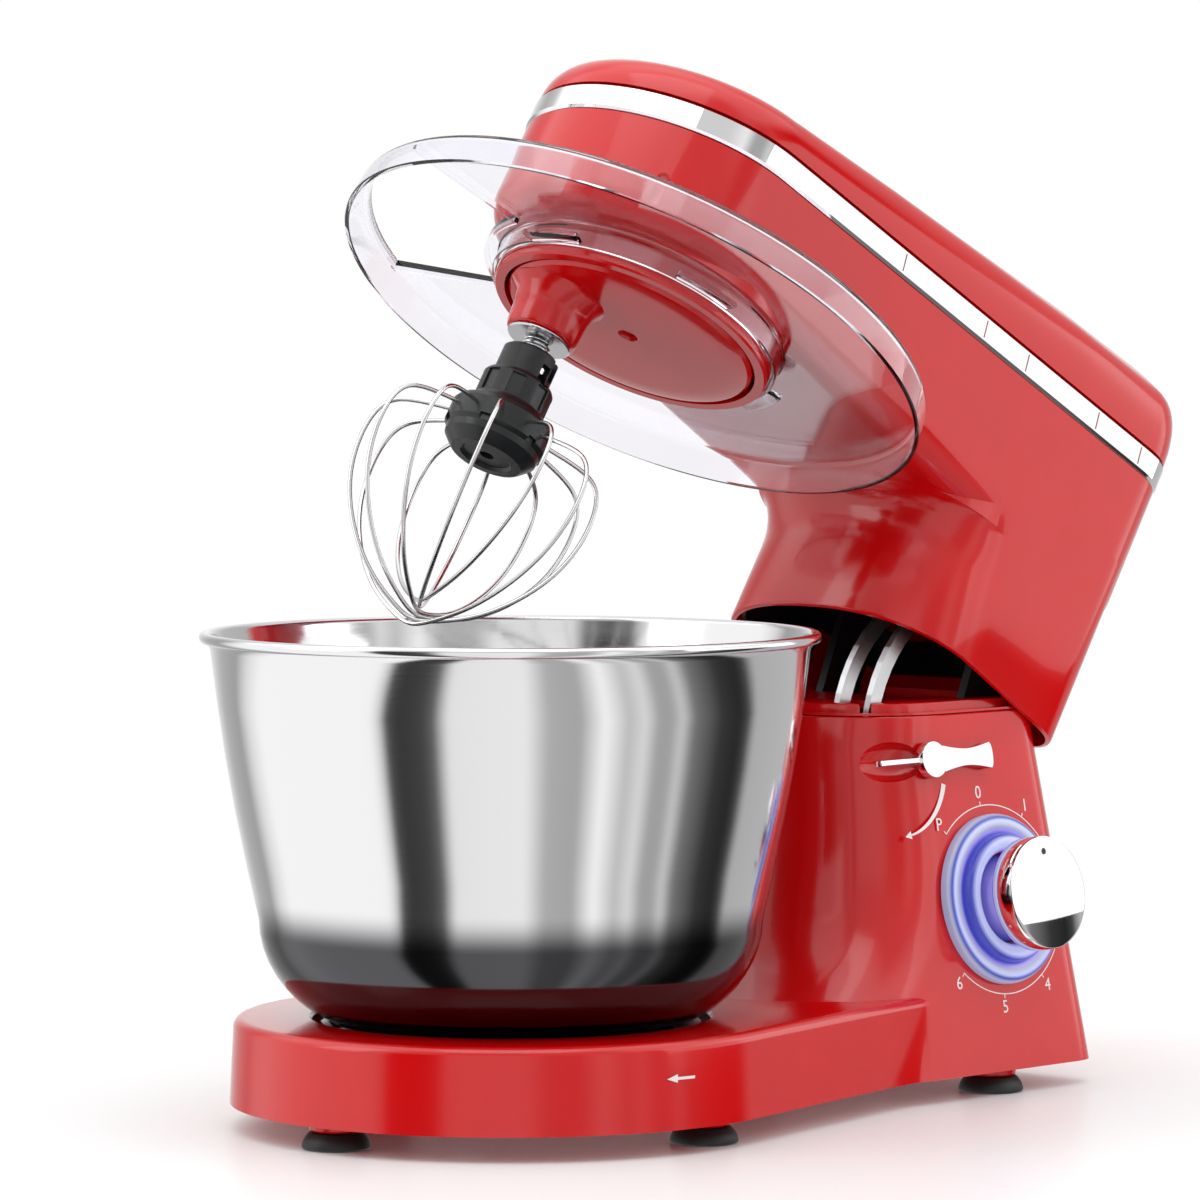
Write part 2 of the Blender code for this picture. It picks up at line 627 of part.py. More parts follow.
def hinge_bracket():
    """Steel saddle inside the column that holds the hinge pin."""
    low = HINGE_Z - 0.028
    rise = HINGE_Z + 0.009
    cheek = [(HINGE_Y - 0.016, low), (HINGE_Y + 0.016, low), (HINGE_Y + 0.010, rise), (HINGE_Y - 0.010, rise)]
    inner = BRACKET_X - BRACKET_THICKNESS
    wide = side_half_width(low) - WALL - GAP - 0.0004
    bracket = add("hinge_bracket", plate_yz(cheek, inner, BRACKET_X), GREY_STEEL, MIXER)
    join(bracket, helper("left_cheek", plate_yz(cheek, -BRACKET_X, -inner), MIXER))
    floor = block((-wide, wide), (HINGE_Y - 0.016, HINGE_Y + 0.016), (low - 0.003, low + 0.0005))
    join(bracket, helper("bracket_floor", floor, MIXER))
    bore = rod(HINGE_PIN_RADIUS + GAP, -0.06, 0.06, 24)
    cut(bracket, helper("bracket_bore", moved(along_x(bore), Matrix.Translation((0, HINGE_Y, HINGE_Z))), MIXER))
    return bracket


def hinge_pin():
    shape = along_x(rod(HINGE_PIN_RADIUS, -HINGE_PIN_HALF, HINGE_PIN_HALF, 24))
    return add("hinge_pin", shape, STEEL, MIXER, (0, HINGE_Y, HINGE_Z))


def cord_gland():
    """Inlet that the mains cord leaves by, at the back of the column."""
    flange = GLAND_RADIUS + 0.0029
    profile = [(GLAND_BORE, -0.006), (GLAND_RADIUS, -0.006), (GLAND_RADIUS, GAP), (flange, GAP), (flange, 0.002),
               (GLAND_RADIUS - 0.0002, 0.008), (GLAND_BORE, 0.008)]
    return add("cord_gland", lathe(profile, 14), BLACK, GLAND_AXIS)


# Bowl -----------------------------------------------------------------------------------------

def bowl_profile():
    """Outer line of the bowl from the middle of its floor to below the rim, as (radius, z)."""
    floor_radius = BOWL_FOOT_RADIUS - 0.008
    line = [(0, BOWL_BOTTOM), (floor_radius, BOWL_BOTTOM)]
    side_low = (BOWL_SIDE_RADIUS, BOWL_BOTTOM + BOWL_CURVE_HEIGHT)
    for t in (0.33, 0.67, 1.0):
        angle = math.pi / 2 * t
        radius = floor_radius + (side_low[0] - floor_radius) * math.sin(angle) ** 1.15
        height = BOWL_BOTTOM + (side_low[1] - BOWL_BOTTOM) * (1 - math.cos(angle))
        line.append((radius, height))
    flare, upright = BOWL_RIM_RADIUS - BOWL_SIDE_RADIUS, BOWL_RIM_TOP - side_low[1]
    line += [(side_low[0] + 0.383 * flare, side_low[1] + 0.1485 * upright),
             (side_low[0] + 0.7106 * flare, side_low[1] + 0.4803 * upright)]
    line.append((BOWL_RIM_RADIUS - 2 * BOWL_BEAD, BOWL_RIM_TOP - 3 * BOWL_BEAD))
    return line


def bowl():
    outside = bowl_profile()
    bead = (BOWL_RIM_RADIUS - BOWL_BEAD, BOWL_RIM_TOP - BOWL_BEAD)
    rolled = arc(BOWL_BEAD, -math.pi / 2, math.pi * 0.95, 5, bead)
    inside = [(max(0, radius - BOWL_WALL), z + BOWL_WALL * 0.55) for radius, z in outside[:0:-1]]
    profile = outside + rolled + inside + [(0, BOWL_BOTTOM + BOWL_WALL)]
    return add("bowl", lathe(profile, ROUND_STEPS), STEEL, MIXER, smooth=60)


def bowl_foot():
    """Ring under the bowl with the lugs that lock it to the base."""
    high = BOWL_BOTTOM - GAP
    ring = add("bowl_foot", tube(BOWL_FOOT_RADIUS, BOWL_FOOT_RADIUS - BOWL_FOOT_WALL, FOOT_LOW, high, 24),
               STEEL, MIXER)
    for i in range(LUG_COUNT):
        centre = 2 * math.pi * i / LUG_COUNT
        start, end = centre - BOWL_LUG_ANGLE / 2, centre + BOWL_LUG_ANGLE / 2
        outline = (arc(BOWL_FOOT_RADIUS + BOWL_LUG_LENGTH, start, end, 4)
                   + arc(BOWL_FOOT_RADIUS - BOWL_FOOT_WALL / 2, end, start, 4))
        lug = prism(outline, FOOT_LOW + 0.0002, FOOT_LOW + BOWL_LUG_HEIGHT)
        join(ring, helper(f"bowl_lug_{i + 1}", lug, MIXER))
    return ring


def bowl_gasket():
    low = SEAT_FLOOR + GAP
    ring = tube(BOWL_FOOT_RADIUS + 0.001, BOWL_FOOT_RADIUS - 0.006, low, low + GASKET_HEIGHT, 24)
    return add("bowl_gasket", ring, RUBBER, MIXER)


# Column controls ------------------------------------------------------------------------------

def light_ring():
    bore, crest = KNOB_SHANK_RADIUS + KNOB_RING_GAP, LIGHT_HEIGHT + 0.001
    profile = [(bore, GAP), (LIGHT_RADIUS, GAP), (LIGHT_RADIUS, LIGHT_HEIGHT * 0.39),
               (LIGHT_RADIUS - 0.003, LIGHT_HEIGHT * 0.6), (LIGHT_RADIUS - 0.009, LIGHT_HEIGHT * 0.75),
               (LIGHT_RADIUS - 0.009, LIGHT_HEIGHT), (bore + 0.003, crest), (bore, crest)]
    return add("light_ring", lathe(profile, 24), LIT, KNOB_AXIS)


def speed_knob():
    low = LIGHT_HEIGHT - 0.0075
    neck = LIGHT_HEIGHT + KNOB_NECK
    face = neck + KNOB_HEAD_HEIGHT
    socket = KNOB_SHAFT_RADIUS + 0.003
    profile = [(0, LIGHT_HEIGHT), (socket, LIGHT_HEIGHT), (socket, low), (KNOB_SHANK_RADIUS + 0.0015, low),
               (KNOB_SHANK_RADIUS, neck), (KNOB_RADIUS, neck + 0.003), (KNOB_RADIUS, face - 0.0012),
               (KNOB_RADIUS - 0.001, face), (0, face)]
    knob = add("speed_knob", lathe(profile, 24), CHROME, KNOB_AXIS)
    dot = moved(rod(0.0014, face - 0.0005, face + 0.001, 12), Matrix.Translation((-KNOB_RADIUS * 0.72, 0, 0)))
    cut(knob, helper("knob_dot", dot, KNOB_AXIS))
    return knob


def knob_shaft():
    shaft = rod(KNOB_SHAFT_RADIUS, -KNOB_SHAFT_DEPTH, LIGHT_HEIGHT - GAP, 16)
    return add("knob_shaft", shaft, GREY_STEEL, KNOB_AXIS)


def speed_switch():
    """Rotary switch with a round flange against the inside of the wall."""
    half, depth = 0.014, -KNOB_SHAFT_DEPTH - GAP
    switch = add("speed_switch", block((-half, half), (-half, half), (-0.024, depth)), BLACK, KNOB_AXIS)
    flange = tube(KNOB_HOLE_RADIUS + 0.0065, KNOB_HOLE_RADIUS + 0.0005, depth - 0.0007, -WALL - GAP, 16)
    join(switch, helper("switch_flange", flange, KNOB_AXIS))
    return switch


def control_board():
    half = 0.026
    return add("control_board", block((-half, half), (-half, half), (-0.0262, -0.0243)), BOARD, KNOB_AXIS)


def lever_handle():
    """Bow-tie grip that points to the rear, and the thin finger blade that points to the front."""
    low, high = 0.0006, 0.0006 + LEVER_HANDLE_THICKNESS
    half = []
    for i in range(9):
        t = i / 8
        width = LEVER_HANDLE_WAIST + (LEVER_HANDLE_END - 0.002 - LEVER_HANDLE_WAIST) * abs(2 * t - 1) ** 1.6
        half.append((LEVER_HANDLE_END * 0.75 + t * (LEVER_HANDLE_LENGTH - LEVER_HANDLE_END * 0.75), width))
    front = arc(LEVER_HANDLE_END, math.radians(40), math.radians(320), 14)
    outline = [(x, w) for x, w in half[::-1]] + front + [(x, -w) for x, w in half]
    grip = loft([[(-across, along, low) for along, across in outline],
                 [(-across, along, high) for along, across in outline]])
    handle = add("lever_handle", grip, CHROME, LEVER_AXIS)
    blade = block((-0.0012, 0.0012), (-LEVER_BLADE_LENGTH, 0), (low, high - 0.001))
    join(handle, helper("lever_blade", blade, LEVER_AXIS))
    return handle


def lever_shaft():
    inner = -(side_half_width(LEVER_Z) - ARM_X[0] + 0.004) / math.cos(SIDE_LEAN)
    return add("lever_shaft", rod(LEVER_SHAFT_RADIUS, inner, 0.0006 - GAP, 16), GREY_STEEL, LEVER_AXIS)


def lock_cam():
    """Cam on the lever's shaft whose nose holds the latch arms."""
    reach = LEVER_Y - (HINGE_Y - math.sqrt((ARM_RADIUS - ARM_WIDTH / 2) ** 2 - (LEVER_Z - HINGE_Z) ** 2))
    nose = reach - CAM_CLEARANCE
    bore = LEVER_SHAFT_RADIUS + GAP
    outline = arc(0.0065, math.radians(-55), math.radians(235), 12) + [(-0.002, -nose), (0.002, -nose)]
    low = -(side_half_width(LEVER_Z) - ARM_X[0] + 0.002) / math.cos(SIDE_LEAN)
    high = -(side_half_width(LEVER_Z) - ARM_X[1] - 0.002) / math.cos(SIDE_LEAN)
    cam = add("lock_cam", prism(outline, low, high), GREY_STEEL, LEVER_AXIS)
    cut(cam, helper("cam_bore", rod(bore, low - 0.001, high + 0.001, 16), LEVER_AXIS))
    return cam


def lever_spring():
    """Torsion spring round the lever's shaft, between the cam and the wall."""
    turns, per_turn = 3, 7
    low = -(side_half_width(LEVER_Z) - ARM_X[1] - 0.002) / math.cos(SIDE_LEAN) + 0.0012
    pitch = 0.0022
    radius = LEVER_SHAFT_RADIUS + 0.0012
    points = []
    for i in range(turns * per_turn + 1):
        angle = 2 * math.pi * i / per_turn
        points.append((radius * math.cos(angle), radius * math.sin(angle), low + pitch * i / per_turn))
    return wire("lever_spring", points, 0.0005, GREY_STEEL, LEVER_AXIS)


# Head casings ---------------------------------------------------------------------------------

def part_line(y):
    return PART_LINE_Z + PART_LINE_SLOPE * y


def head_outline(inset=0.0):
    half = HEAD_HALF_WIDTH - inset
    return d_outline(half, NOSE_CENTRE_Y - half, HEAD_REAR - inset, half,
                     max(HEAD_REAR_RADIUS - inset, half / 3))


def raised(outline, lift):
    """Ring of an outline on the sloping part line, lifted straight up."""
    return [(x, y, part_line(y) + lift) for x, y in outline]


def neck_outline(inset=0.0):
    return d_outline(HEAD_HALF_WIDTH - inset, COLUMN_FRONT + inset, NECK_REAR - inset,
                     COLUMN_NOSE_DEPTH - inset, COLUMN_REAR_RADIUS - inset, FRONT_SQUARENESS)


def lower_body(inset, lift):
    """Main volume of the lower casing, from its rounded floor up to the part line."""
    floor = HEAD_FLOOR + inset
    edge = HEAD_FLOOR_EDGE
    rings = []
    for t in (0.0, 0.35, 0.7, 1.0):
        angle = math.pi / 2 * t
        shrink = inset + edge * (1 - math.sin(angle))
        rings.append([(x, y, floor + edge * (1 - math.cos(angle))) for x, y in head_outline(shrink)])
    rings.append(raised(head_outline(inset), lift))
    return loft(rings)


def head_bottom_shell():
    shell = add("head_bottom_shell", lower_body(0, 0), RED, HEAD)
    neck_top = HEAD_FLOOR + 0.030
    join(shell, helper("neck_outside", prism(neck_outline(), NECK_BOTTOM, neck_top), HEAD))
    join(shell, helper("collar_outside", rod(COLLAR_RADIUS, COLLAR_BOTTOM, HEAD_FLOOR + 0.009, ROUND_STEPS), HEAD))
    cut(shell, helper("body_inside", lower_body(SHELL_WALL, 0.002), HEAD))
    cut(shell, helper("neck_inside", prism(neck_outline(SHELL_WALL), NECK_BOTTOM - 0.002, neck_top), HEAD))
    bore = rod(COLLAR_BORE, COLLAR_BOTTOM - 0.002, HEAD_FLOOR + 0.010, ROUND_STEPS)
    cut(shell, helper("collar_inside", bore, HEAD))
    return shell


def trim_band():
    outer = head_outline(-TRIM_PROUD)
    inner = head_outline(SHELL_WALL)
    low, high = GAP, TRIM_HEIGHT - GAP
    bm = bmesh.new()
    rings = [[bm.verts.new(p) for p in raised(outline, lift)]
             for outline, lift in ((outer, low), (outer, high), (inner, high), (inner, low))]
    for first, second in zip(rings, rings[1:] + rings[:1]):
        for i in range(len(first)):
            j = (i + 1) % len(first)
            bm.faces.new((first[i], first[j], second[j], second[i]))
    return add("trim_band", bm, CHROME, HEAD)


def dome(inset, drop):
    """Cushion-shaped upper volume over the trim band, lower at the nose than at the rear."""
    rings = [raised(head_outline(inset), TRIM_HEIGHT - drop)]
    for t in (0.0, 0.2, 0.4, 0.6, 0.8, 1.0):
        angle = math.pi / 2 * t
        shrink = inset + (DOME_ROUNDING - inset) * (1 - math.cos(angle))
        ring = []
        for (x, y), (_, full_y) in zip(head_outline(shrink), head_outline(inset)):
            share = (full_y - NOSE_CENTRE_Y) / (HEAD_REAR - NOSE_CENTRE_Y)
            height = DOME_FRONT + (DOME_REAR - DOME_FRONT) * min(1.0, max(0.0, share * 1.3)) ** 0.8 - inset
            ring.append((x, y, part_line(y) + TRIM_HEIGHT + 0.002 + height * math.sin(angle)))
        rings.append(ring)
    return loft(rings)


def head_top_shell():
    shell = add("head_top_shell", dome(0, 0), RED, HEAD)
    cut(shell, helper("dome_inside", dome(SHELL_WALL, 0.002), HEAD))
    return shell


def neck_liner():
    """Black inner cover that lines the neck's opening."""
    start = SHELL_WALL + LINER_GAP
    low = NECK_BOTTOM + 0.006
    liner = add("neck_liner", prism(neck_outline(start), low, LINER_TOP), BLACK, HEAD)
    hollow = prism(neck_outline(start + LINER_WALL), low - 0.001, LINER_TOP - LINER_WALL)
    cut(liner, helper("liner_hollow", hollow, HEAD))
    span = LEG_X + LEG_THICKNESS + 0.002
    legs = block((-span, span), (HINGE_Y - 0.046, HINGE_Y + 0.026), (LINER_TOP - 0.01, LINER_TOP + 0.01))
    cut(liner, helper("liner_legs", legs, HEAD))
    wide = HEAD_HALF_WIDTH + 0.01
    behind = block((-wide, wide), (HINGE_Y - 0.008, NECK_REAR + 0.01), (low - 0.01, LINER_REAR_CUT))
    cut(liner, helper("liner_behind", behind, HEAD))
    for i, x in enumerate((-0.014, 0.0, 0.014)):
        rib = block((x - 0.001, x + 0.001), (COLUMN_FRONT + 0.007, HINGE_Y - 0.045),
                    (LINER_TOP - 0.014, LINER_TOP - 0.001))
        join(liner, helper(f"liner_rib_{i + 1}", rib, HEAD))
    return liner


# Head frame and latch -------------------------------------------------------------------------

def head_chassis():
    """Cast frame of the head: gear plate, two legs down to the hinge and the latch arms' block."""
    low, high = CHASSIS_BOTTOM, CHASSIS_BOTTOM + CHASSIS_THICKNESS
    rear = HINGE_Y + 0.018
    half = LEG_X + 0.006
    plate = [(0.026, -0.046), (half, -0.020), (half, rear), (-half, rear), (-half, -0.020), (-0.026, -0.046)]
    frame = add("head_chassis", prism(plate, low, high), CAST, HEAD)
    foot = arc(LEG_RADIUS, math.pi, 2 * math.pi, 10, (HINGE_Y, HINGE_Z))
    leg = foot + [(HINGE_Y - 0.002, low + 0.001), (HINGE_Y - LEG_RADIUS - 0.014, low + 0.001)]
    pin = along_x(rod(HINGE_PIN_RADIUS + GAP, -0.06, 0.06, 24))
    pin_hole = helper("leg_bores", moved(pin, Matrix.Translation((0, HINGE_Y, HINGE_Z))), HEAD)
    for side in (-1, 1):
        ends = sorted((side * (LEG_X - LEG_THICKNESS / 2), side * (LEG_X + LEG_THICKNESS / 2)))
        join(frame, helper("right_leg" if side > 0 else "left_leg", plate_yz(leg, *ends), HEAD))
    join(frame, helper("arm_block", block(*ARM_BLOCK), HEAD))
    for i, (x, y) in enumerate(((0.040, 0.070), (-0.040, 0.070), (0.040, 0.120), (-0.040, 0.120))):
        pad = block((x - 0.004, x + 0.004), (y - 0.004, y + 0.004), (HEAD_FLOOR + SHELL_WALL + GAP, low + 0.001))
        join(frame, helper(f"chassis_pad_{i + 1}", pad, HEAD))
    cut(frame, pin_hole)
    cut(frame, helper("bearing_seat", rod(BEARING_RADIUS + GAP, low - 0.001, high + 0.001, 32), HEAD))
    cut(frame, helper("reduction_seat", rod(AXLE_RADIUS + GAP, low - 0.001, high + 0.001, 16), REDUCTION_AXIS))
    return frame


def latch_arms():
    """Curved steel arms that slide down into the column, past the lock cam."""
    inner, outer = ARM_RADIUS - ARM_WIDTH / 2, ARM_RADIUS + ARM_WIDTH / 2
    top = ARM_BLOCK[2][0] - GAP
    reach = math.asin((top - HINGE_Z) / outer)
    low = -TILT - ARM_BELOW

    def outline(radius, start, end, steps):
        points = []
        for i in range(steps + 1):
            angle = start + (end - start) * i / steps
            points.append((HINGE_Y - radius * math.cos(angle), HINGE_Z + radius * math.sin(angle)))
        return points

    shape = outline(inner, low, reach, 14) + outline(outer, reach, low, 14)
    for x, name in zip(ARM_X, ("latch_arm_inner", "latch_arm_outer")):
        arm = add(name, plate_yz(shape, x - ARM_THICKNESS / 2, x + ARM_THICKNESS / 2), GREY_STEEL, HEAD)
        bore = along_x(rod(LATCH_PIN_RADIUS + GAP, -0.004, 0.004, 12))
        hole = moved(bore, Matrix.Translation(latch_pin_place(x)))
        cut(arm, helper(name + "_hole", hole, HEAD))


def latch_pin_place(x):
    angle = math.asin((ARM_BLOCK[2][0] - 0.006 - HINGE_Z) / ARM_RADIUS)
    return (x, HINGE_Y - ARM_RADIUS * math.cos(angle), HINGE_Z + ARM_RADIUS * math.sin(angle))


def latch_pin():
    middle = sum(ARM_X) / 2
    half = (ARM_X[1] - ARM_X[0]) / 2 + ARM_THICKNESS
    return add("latch_pin", along_x(rod(LATCH_PIN_RADIUS, -half, half, 12)), BLACK, HEAD, latch_pin_place(middle))


# Drive ----------------------------------------------------------------------------------------

def ring_gear():
    ring = add("ring_gear", rod(COLLAR_BORE - GAP, RING_BOTTOM, RING_TOP, ROUND_STEPS), NYLON, HEAD, smooth=20)
    teeth = prism(gear_outline(PLANET_MODULE, RING_TEETH, ECCENTRIC_ANGLE, internal=True),
                  RING_BOTTOM - 0.001, RING_TOP + 0.001)
    cut(ring, helper("ring_teeth", teeth, HEAD))
    return ring


def drive_gear(name, module, teeth, phase, bore, low, high, parent, mat=NYLON):
    gear = add(name, prism(gear_outline(module, teeth, phase), low, high), mat, parent, smooth=20)
    cut(gear, helper(name + "_bore", rod(bore, low - 0.001, high + 0.001, 20), parent))
    return gear


def planet_pinion():
    low = RING_BOTTOM + 0.001
    return drive_gear("planet_pinion", PLANET_MODULE, PLANET_TEETH, ECCENTRIC_ANGLE,
                      BEATER_SHAFT_RADIUS + GAP, low, low + GEAR_WIDTH, BEATER_AXIS, GREY_STEEL)


def planetary_disc():
    """Red disc under the head with the eccentric socket of the beater shaft."""
    low, high = DISC_BOTTOM, DISC_BOTTOM + DISC_THICKNESS
    profile = [(0, low), (DISC_RADIUS - 0.002, low), (DISC_RADIUS, low + 0.001), (DISC_RADIUS, high + 0.003),
               (DISC_RADIUS - 0.003, high + 0.003), (DISC_RADIUS - 0.003, high), (0, high)]
    disc = add("planetary_disc", lathe(profile, ROUND_STEPS), RED, PLANETARY_AXIS)
    socket_low = low - SOCKET_LENGTH
    socket = lathe([(0, socket_low), (SOCKET_RADIUS - 0.001, socket_low), (SOCKET_RADIUS + 0.0015, low + 0.001),
                    (SOCKET_RADIUS, high + 0.0045), (0, high + 0.0045)], 24)
    join(disc, helper("socket", socket, BEATER_AXIS))
    cut(disc, helper("socket_bore", rod(BEATER_SHAFT_RADIUS + GAP + 0.0025, socket_low - 0.001, high + 0.006, 24),
                     BEATER_AXIS))
    cut(disc, helper("disc_dimple", rod(0.0035, low - 0.001, low + 0.0018, 16), PLANETARY_AXIS))
    return disc


def beater_bearing():
    low = DISC_BOTTOM - SOCKET_LENGTH + 0.001
    high = DISC_BOTTOM + DISC_THICKNESS + 0.003
    outer = BEATER_SHAFT_RADIUS + 0.0025
    return add("beater_bearing", tube(outer, BEATER_SHAFT_RADIUS + GAP, low, high, 24), CAST, PLANETARY_AXIS,
               tuple(BEATER_AXIS.location))


def planetary_shaft():
    low = DISC_BOTTOM + DISC_THICKNESS + GAP
    high = FINAL_LOW + GEAR_WIDTH + 0.001
    return add("planetary_shaft", rod(PLANETARY_SHAFT_RADIUS, low, high, 24), STEEL, PLANETARY_AXIS)


def main_bearing():
    ring = tube(BEARING_RADIUS, PLANETARY_SHAFT_RADIUS + GAP, CHASSIS_BOTTOM, CHASSIS_BOTTOM + CHASSIS_THICKNESS, 24)
    return add("main_bearing", ring, STEEL, HEAD)


def beater_shaft():
    low = CROSS_PIN_Z - 0.004
    high = RING_BOTTOM + 0.001 + GEAR_WIDTH + 0.0005
    shaft = add("beater_shaft", rod(BEATER_SHAFT_RADIUS, low, high, 20), STEEL, BEATER_AXIS)
    hole = moved(along_x(rod(CROSS_PIN_RADIUS + GAP, -0.006, 0.006, 12)), Matrix.Translation((0, 0, CROSS_PIN_Z)))
    cut(shaft, helper("shaft_pin_hole", hole, BEATER_AXIS))
    return shaft


def cross_pin():
    shape = along_x(rod(CROSS_PIN_RADIUS, -CROSS_PIN_HALF, CROSS_PIN_HALF, 12))
    return add("cross_pin", shape, STEEL, BEATER_AXIS, (0, 0, CROSS_PIN_Z))


def shaft_washer():
    high = DISC_BOTTOM - SOCKET_LENGTH - GAP
    return add("shaft_washer", tube(0.0135, BEATER_SHAFT_RADIUS + GAP, high - 0.0012, high, 20), STEEL, BEATER_AXIS)


def shaft_spring():
    high = DISC_BOTTOM - SOCKET_LENGTH - GAP - 0.0012 - 0.0009
    low = HUB_TOP + 0.0009
    turns, per_turn = 3, 7
    radius = BEATER_SHAFT_RADIUS + 0.0013
    points = []
    for i in range(turns * per_turn + 1):
        angle = 2 * math.pi * i / per_turn
        points.append((radius * math.cos(angle), radius * math.sin(angle),
                       low + (high - low) * i / (turns * per_turn)))
    return wire("shaft_spring", points, 0.0006, STEEL, BEATER_AXIS)


def reduction_gear():
    """Large and small gear on one axle between the motor and the final gear."""
    high = REDUCTION_LOW + GEAR_WIDTH
    gear = add("reduction_gear", prism(gear_outline(REDUCTION_MODULE, REDUCTION_TEETH, math.pi / 2),
                                       REDUCTION_LOW, high), NYLON, REDUCTION_AXIS, smooth=20)
    small = prism(gear_outline(FINAL_MODULE, SMALL_TEETH, math.pi / SMALL_TEETH - math.pi / 2),
                  FINAL_LOW, REDUCTION_LOW + 0.001)
    join(gear, helper("small_gear", small, REDUCTION_AXIS))
    cut(gear, helper("reduction_bore", rod(AXLE_RADIUS + GAP, FINAL_LOW - 0.001, high + 0.001, 16), REDUCTION_AXIS))
    return gear


def reduction_axle():
    return add("reduction_axle", rod(AXLE_RADIUS, CHASSIS_BOTTOM, COVER_HIGH, 16), STEEL, REDUCTION_AXIS)


def gearbox_cover():
    """Plate over the gears that carries the motor, on posts from the chassis."""
    front = -0.048
    outline = [(0.030, front), (0.048, -0.018), (0.048, MOTOR_Y + 0.030), (-0.048, MOTOR_Y + 0.030),
               (-0.048, -0.018), (-0.030, front)]
    cover = add("gearbox_cover", prism(outline, COVER_LOW, COVER_HIGH), CAST, HEAD)
    top = CHASSIS_BOTTOM + CHASSIS_THICKNESS + GAP
    rear = MOTOR_Y + 0.022
    for i, (x, y) in enumerate(((0.040, 0.060), (-0.040, 0.060), (0.040, rear), (-0.040, rear))):
        post = block((x - 0.004, x + 0.004), (y - 0.004, y + 0.004), (top, COVER_LOW + 0.001))
        join(cover, helper(f"cover_post_{i + 1}", post, HEAD))
    cut(cover, helper("motor_hole", rod(0.009, COVER_LOW - 0.001, COVER_HIGH + 0.001, 24), MOTOR_AXIS))
    cut(cover, helper("axle_hole", rod(AXLE_RADIUS + GAP, COVER_LOW - 0.001, COVER_HIGH + 0.001, 16), REDUCTION_AXIS))
    return cover


def motor_body():
    low = COVER_HIGH + GAP
    high = low + MOTOR_HEIGHT
    inner = MOTOR_RADIUS - MOTOR_WALL
    profile = [(0.0035, low), (MOTOR_RADIUS, low), (MOTOR_RADIUS, high), (0.0035, high), (0.0035, high - MOTOR_WALL),
               (inner, high - MOTOR_WALL), (inner, low + MOTOR_WALL), (0.0035, low + MOTOR_WALL)]
    return add("motor_body", lathe(profile, 20), GREY_STEEL, MOTOR_AXIS)


def motor_rotor():
    """Wound rotor with its shaft and pinion."""
    low = COVER_HIGH + GAP + MOTOR_WALL + 0.004
    high = COVER_HIGH + GAP + MOTOR_HEIGHT - MOTOR_WALL - 0.006
    top = COVER_HIGH + GAP + MOTOR_HEIGHT + 0.001
    profile = [(0, REDUCTION_LOW + 0.001), (0.0032, REDUCTION_LOW + 0.001), (0.0032, low), (ROTOR_RADIUS, low),
               (ROTOR_RADIUS, high), (0.0032, high), (0.0032, top), (0, top)]
    rotor = add("motor_rotor", lathe(profile, 18), COPPER, MOTOR_AXIS)
    pinion = prism(gear_outline(REDUCTION_MODULE, MOTOR_TEETH, math.pi / MOTOR_TEETH - math.pi / 2),
                   REDUCTION_LOW, REDUCTION_LOW + GEAR_WIDTH)
    join(rotor, helper("motor_pinion", pinion, MOTOR_AXIS))
    return rotor


# Whisk ----------------------------------------------------------------------------------------

def whisk_hub():
    flange_low = HUB_FLANGE_TOP - 0.013
    profile = [(0, HUB_BOTTOM), (0.0165, HUB_BOTTOM), (0.0205, flange_low), (HUB_FLANGE_RADIUS, flange_low + 0.003),
               (HUB_FLANGE_RADIUS, HUB_FLANGE_TOP - 0.002), (HUB_FLANGE_RADIUS - 0.003, HUB_FLANGE_TOP),
               (HUB_COLLAR_RADIUS, HUB_FLANGE_TOP), (HUB_COLLAR_RADIUS, HUB_TOP - 0.013),
               (HUB_RADIUS, HUB_TOP - 0.012), (HUB_RADIUS, HUB_TOP), (0, HUB_TOP)]
    hub = add("whisk_hub", lathe(profile, 20), BLACK, BEATER_AXIS)
    bore = rod(BEATER_SHAFT_RADIUS + RUNNING_GAP, CROSS_PIN_Z - 0.012, HUB_TOP + 0.001, 20)
    cut(hub, helper("hub_bore", bore, BEATER_AXIS))
    pin = CROSS_PIN_RADIUS + RUNNING_GAP
    slot = block((-0.02, 0.02), (-pin, pin), (CROSS_PIN_Z - pin - WHISK_PUSH, CROSS_PIN_Z + pin))
    cut(hub, helper("hub_slot", slot, BEATER_AXIS))
    cut(hub, helper("hub_hole", rod(0.003, HUB_BOTTOM - 0.001, HUB_BOTTOM + 0.006, 12), BEATER_AXIS))
    return hub


def whisk_wires():
    """Six wire loops; each passes under the next where they cross at the tip."""
    start_radius = HUB_FLANGE_RADIUS + GAP + 0.0002
    start_height = HUB_FLANGE_TOP - 0.0065
    steps = 8
    for loop in range(WHISK_LOOPS):
        angle = math.pi * (loop + 0.5) / WHISK_LOOPS
        tip = WHISK_TIP + WHISK_STACK * loop
        side = []
        for i in range(steps):
            t = i / steps
            bulge = math.sin(math.pi * (0.18 + 0.82 * t) ** 0.92) ** 0.85
            radius = start_radius * (1 - t) ** 2 * 0.55 + WHISK_RADIUS * bulge
            if i == 0:
                radius = start_radius
            height = start_height + (tip - start_height) * (1 - (1 - t) ** 1.35)
            side.append((radius, height))
        path = side + [(0, tip)] + [(-radius, height) for radius, height in side[::-1]]
        points = [(r * math.cos(angle), r * math.sin(angle), z) for r, z in path]
        wire(f"whisk_wire_{loop + 1}", points, WHISK_WIRE_RADIUS, WIRE_STEEL, BEATER_AXIS, 3)


# Splash guard ---------------------------------------------------------------------------------

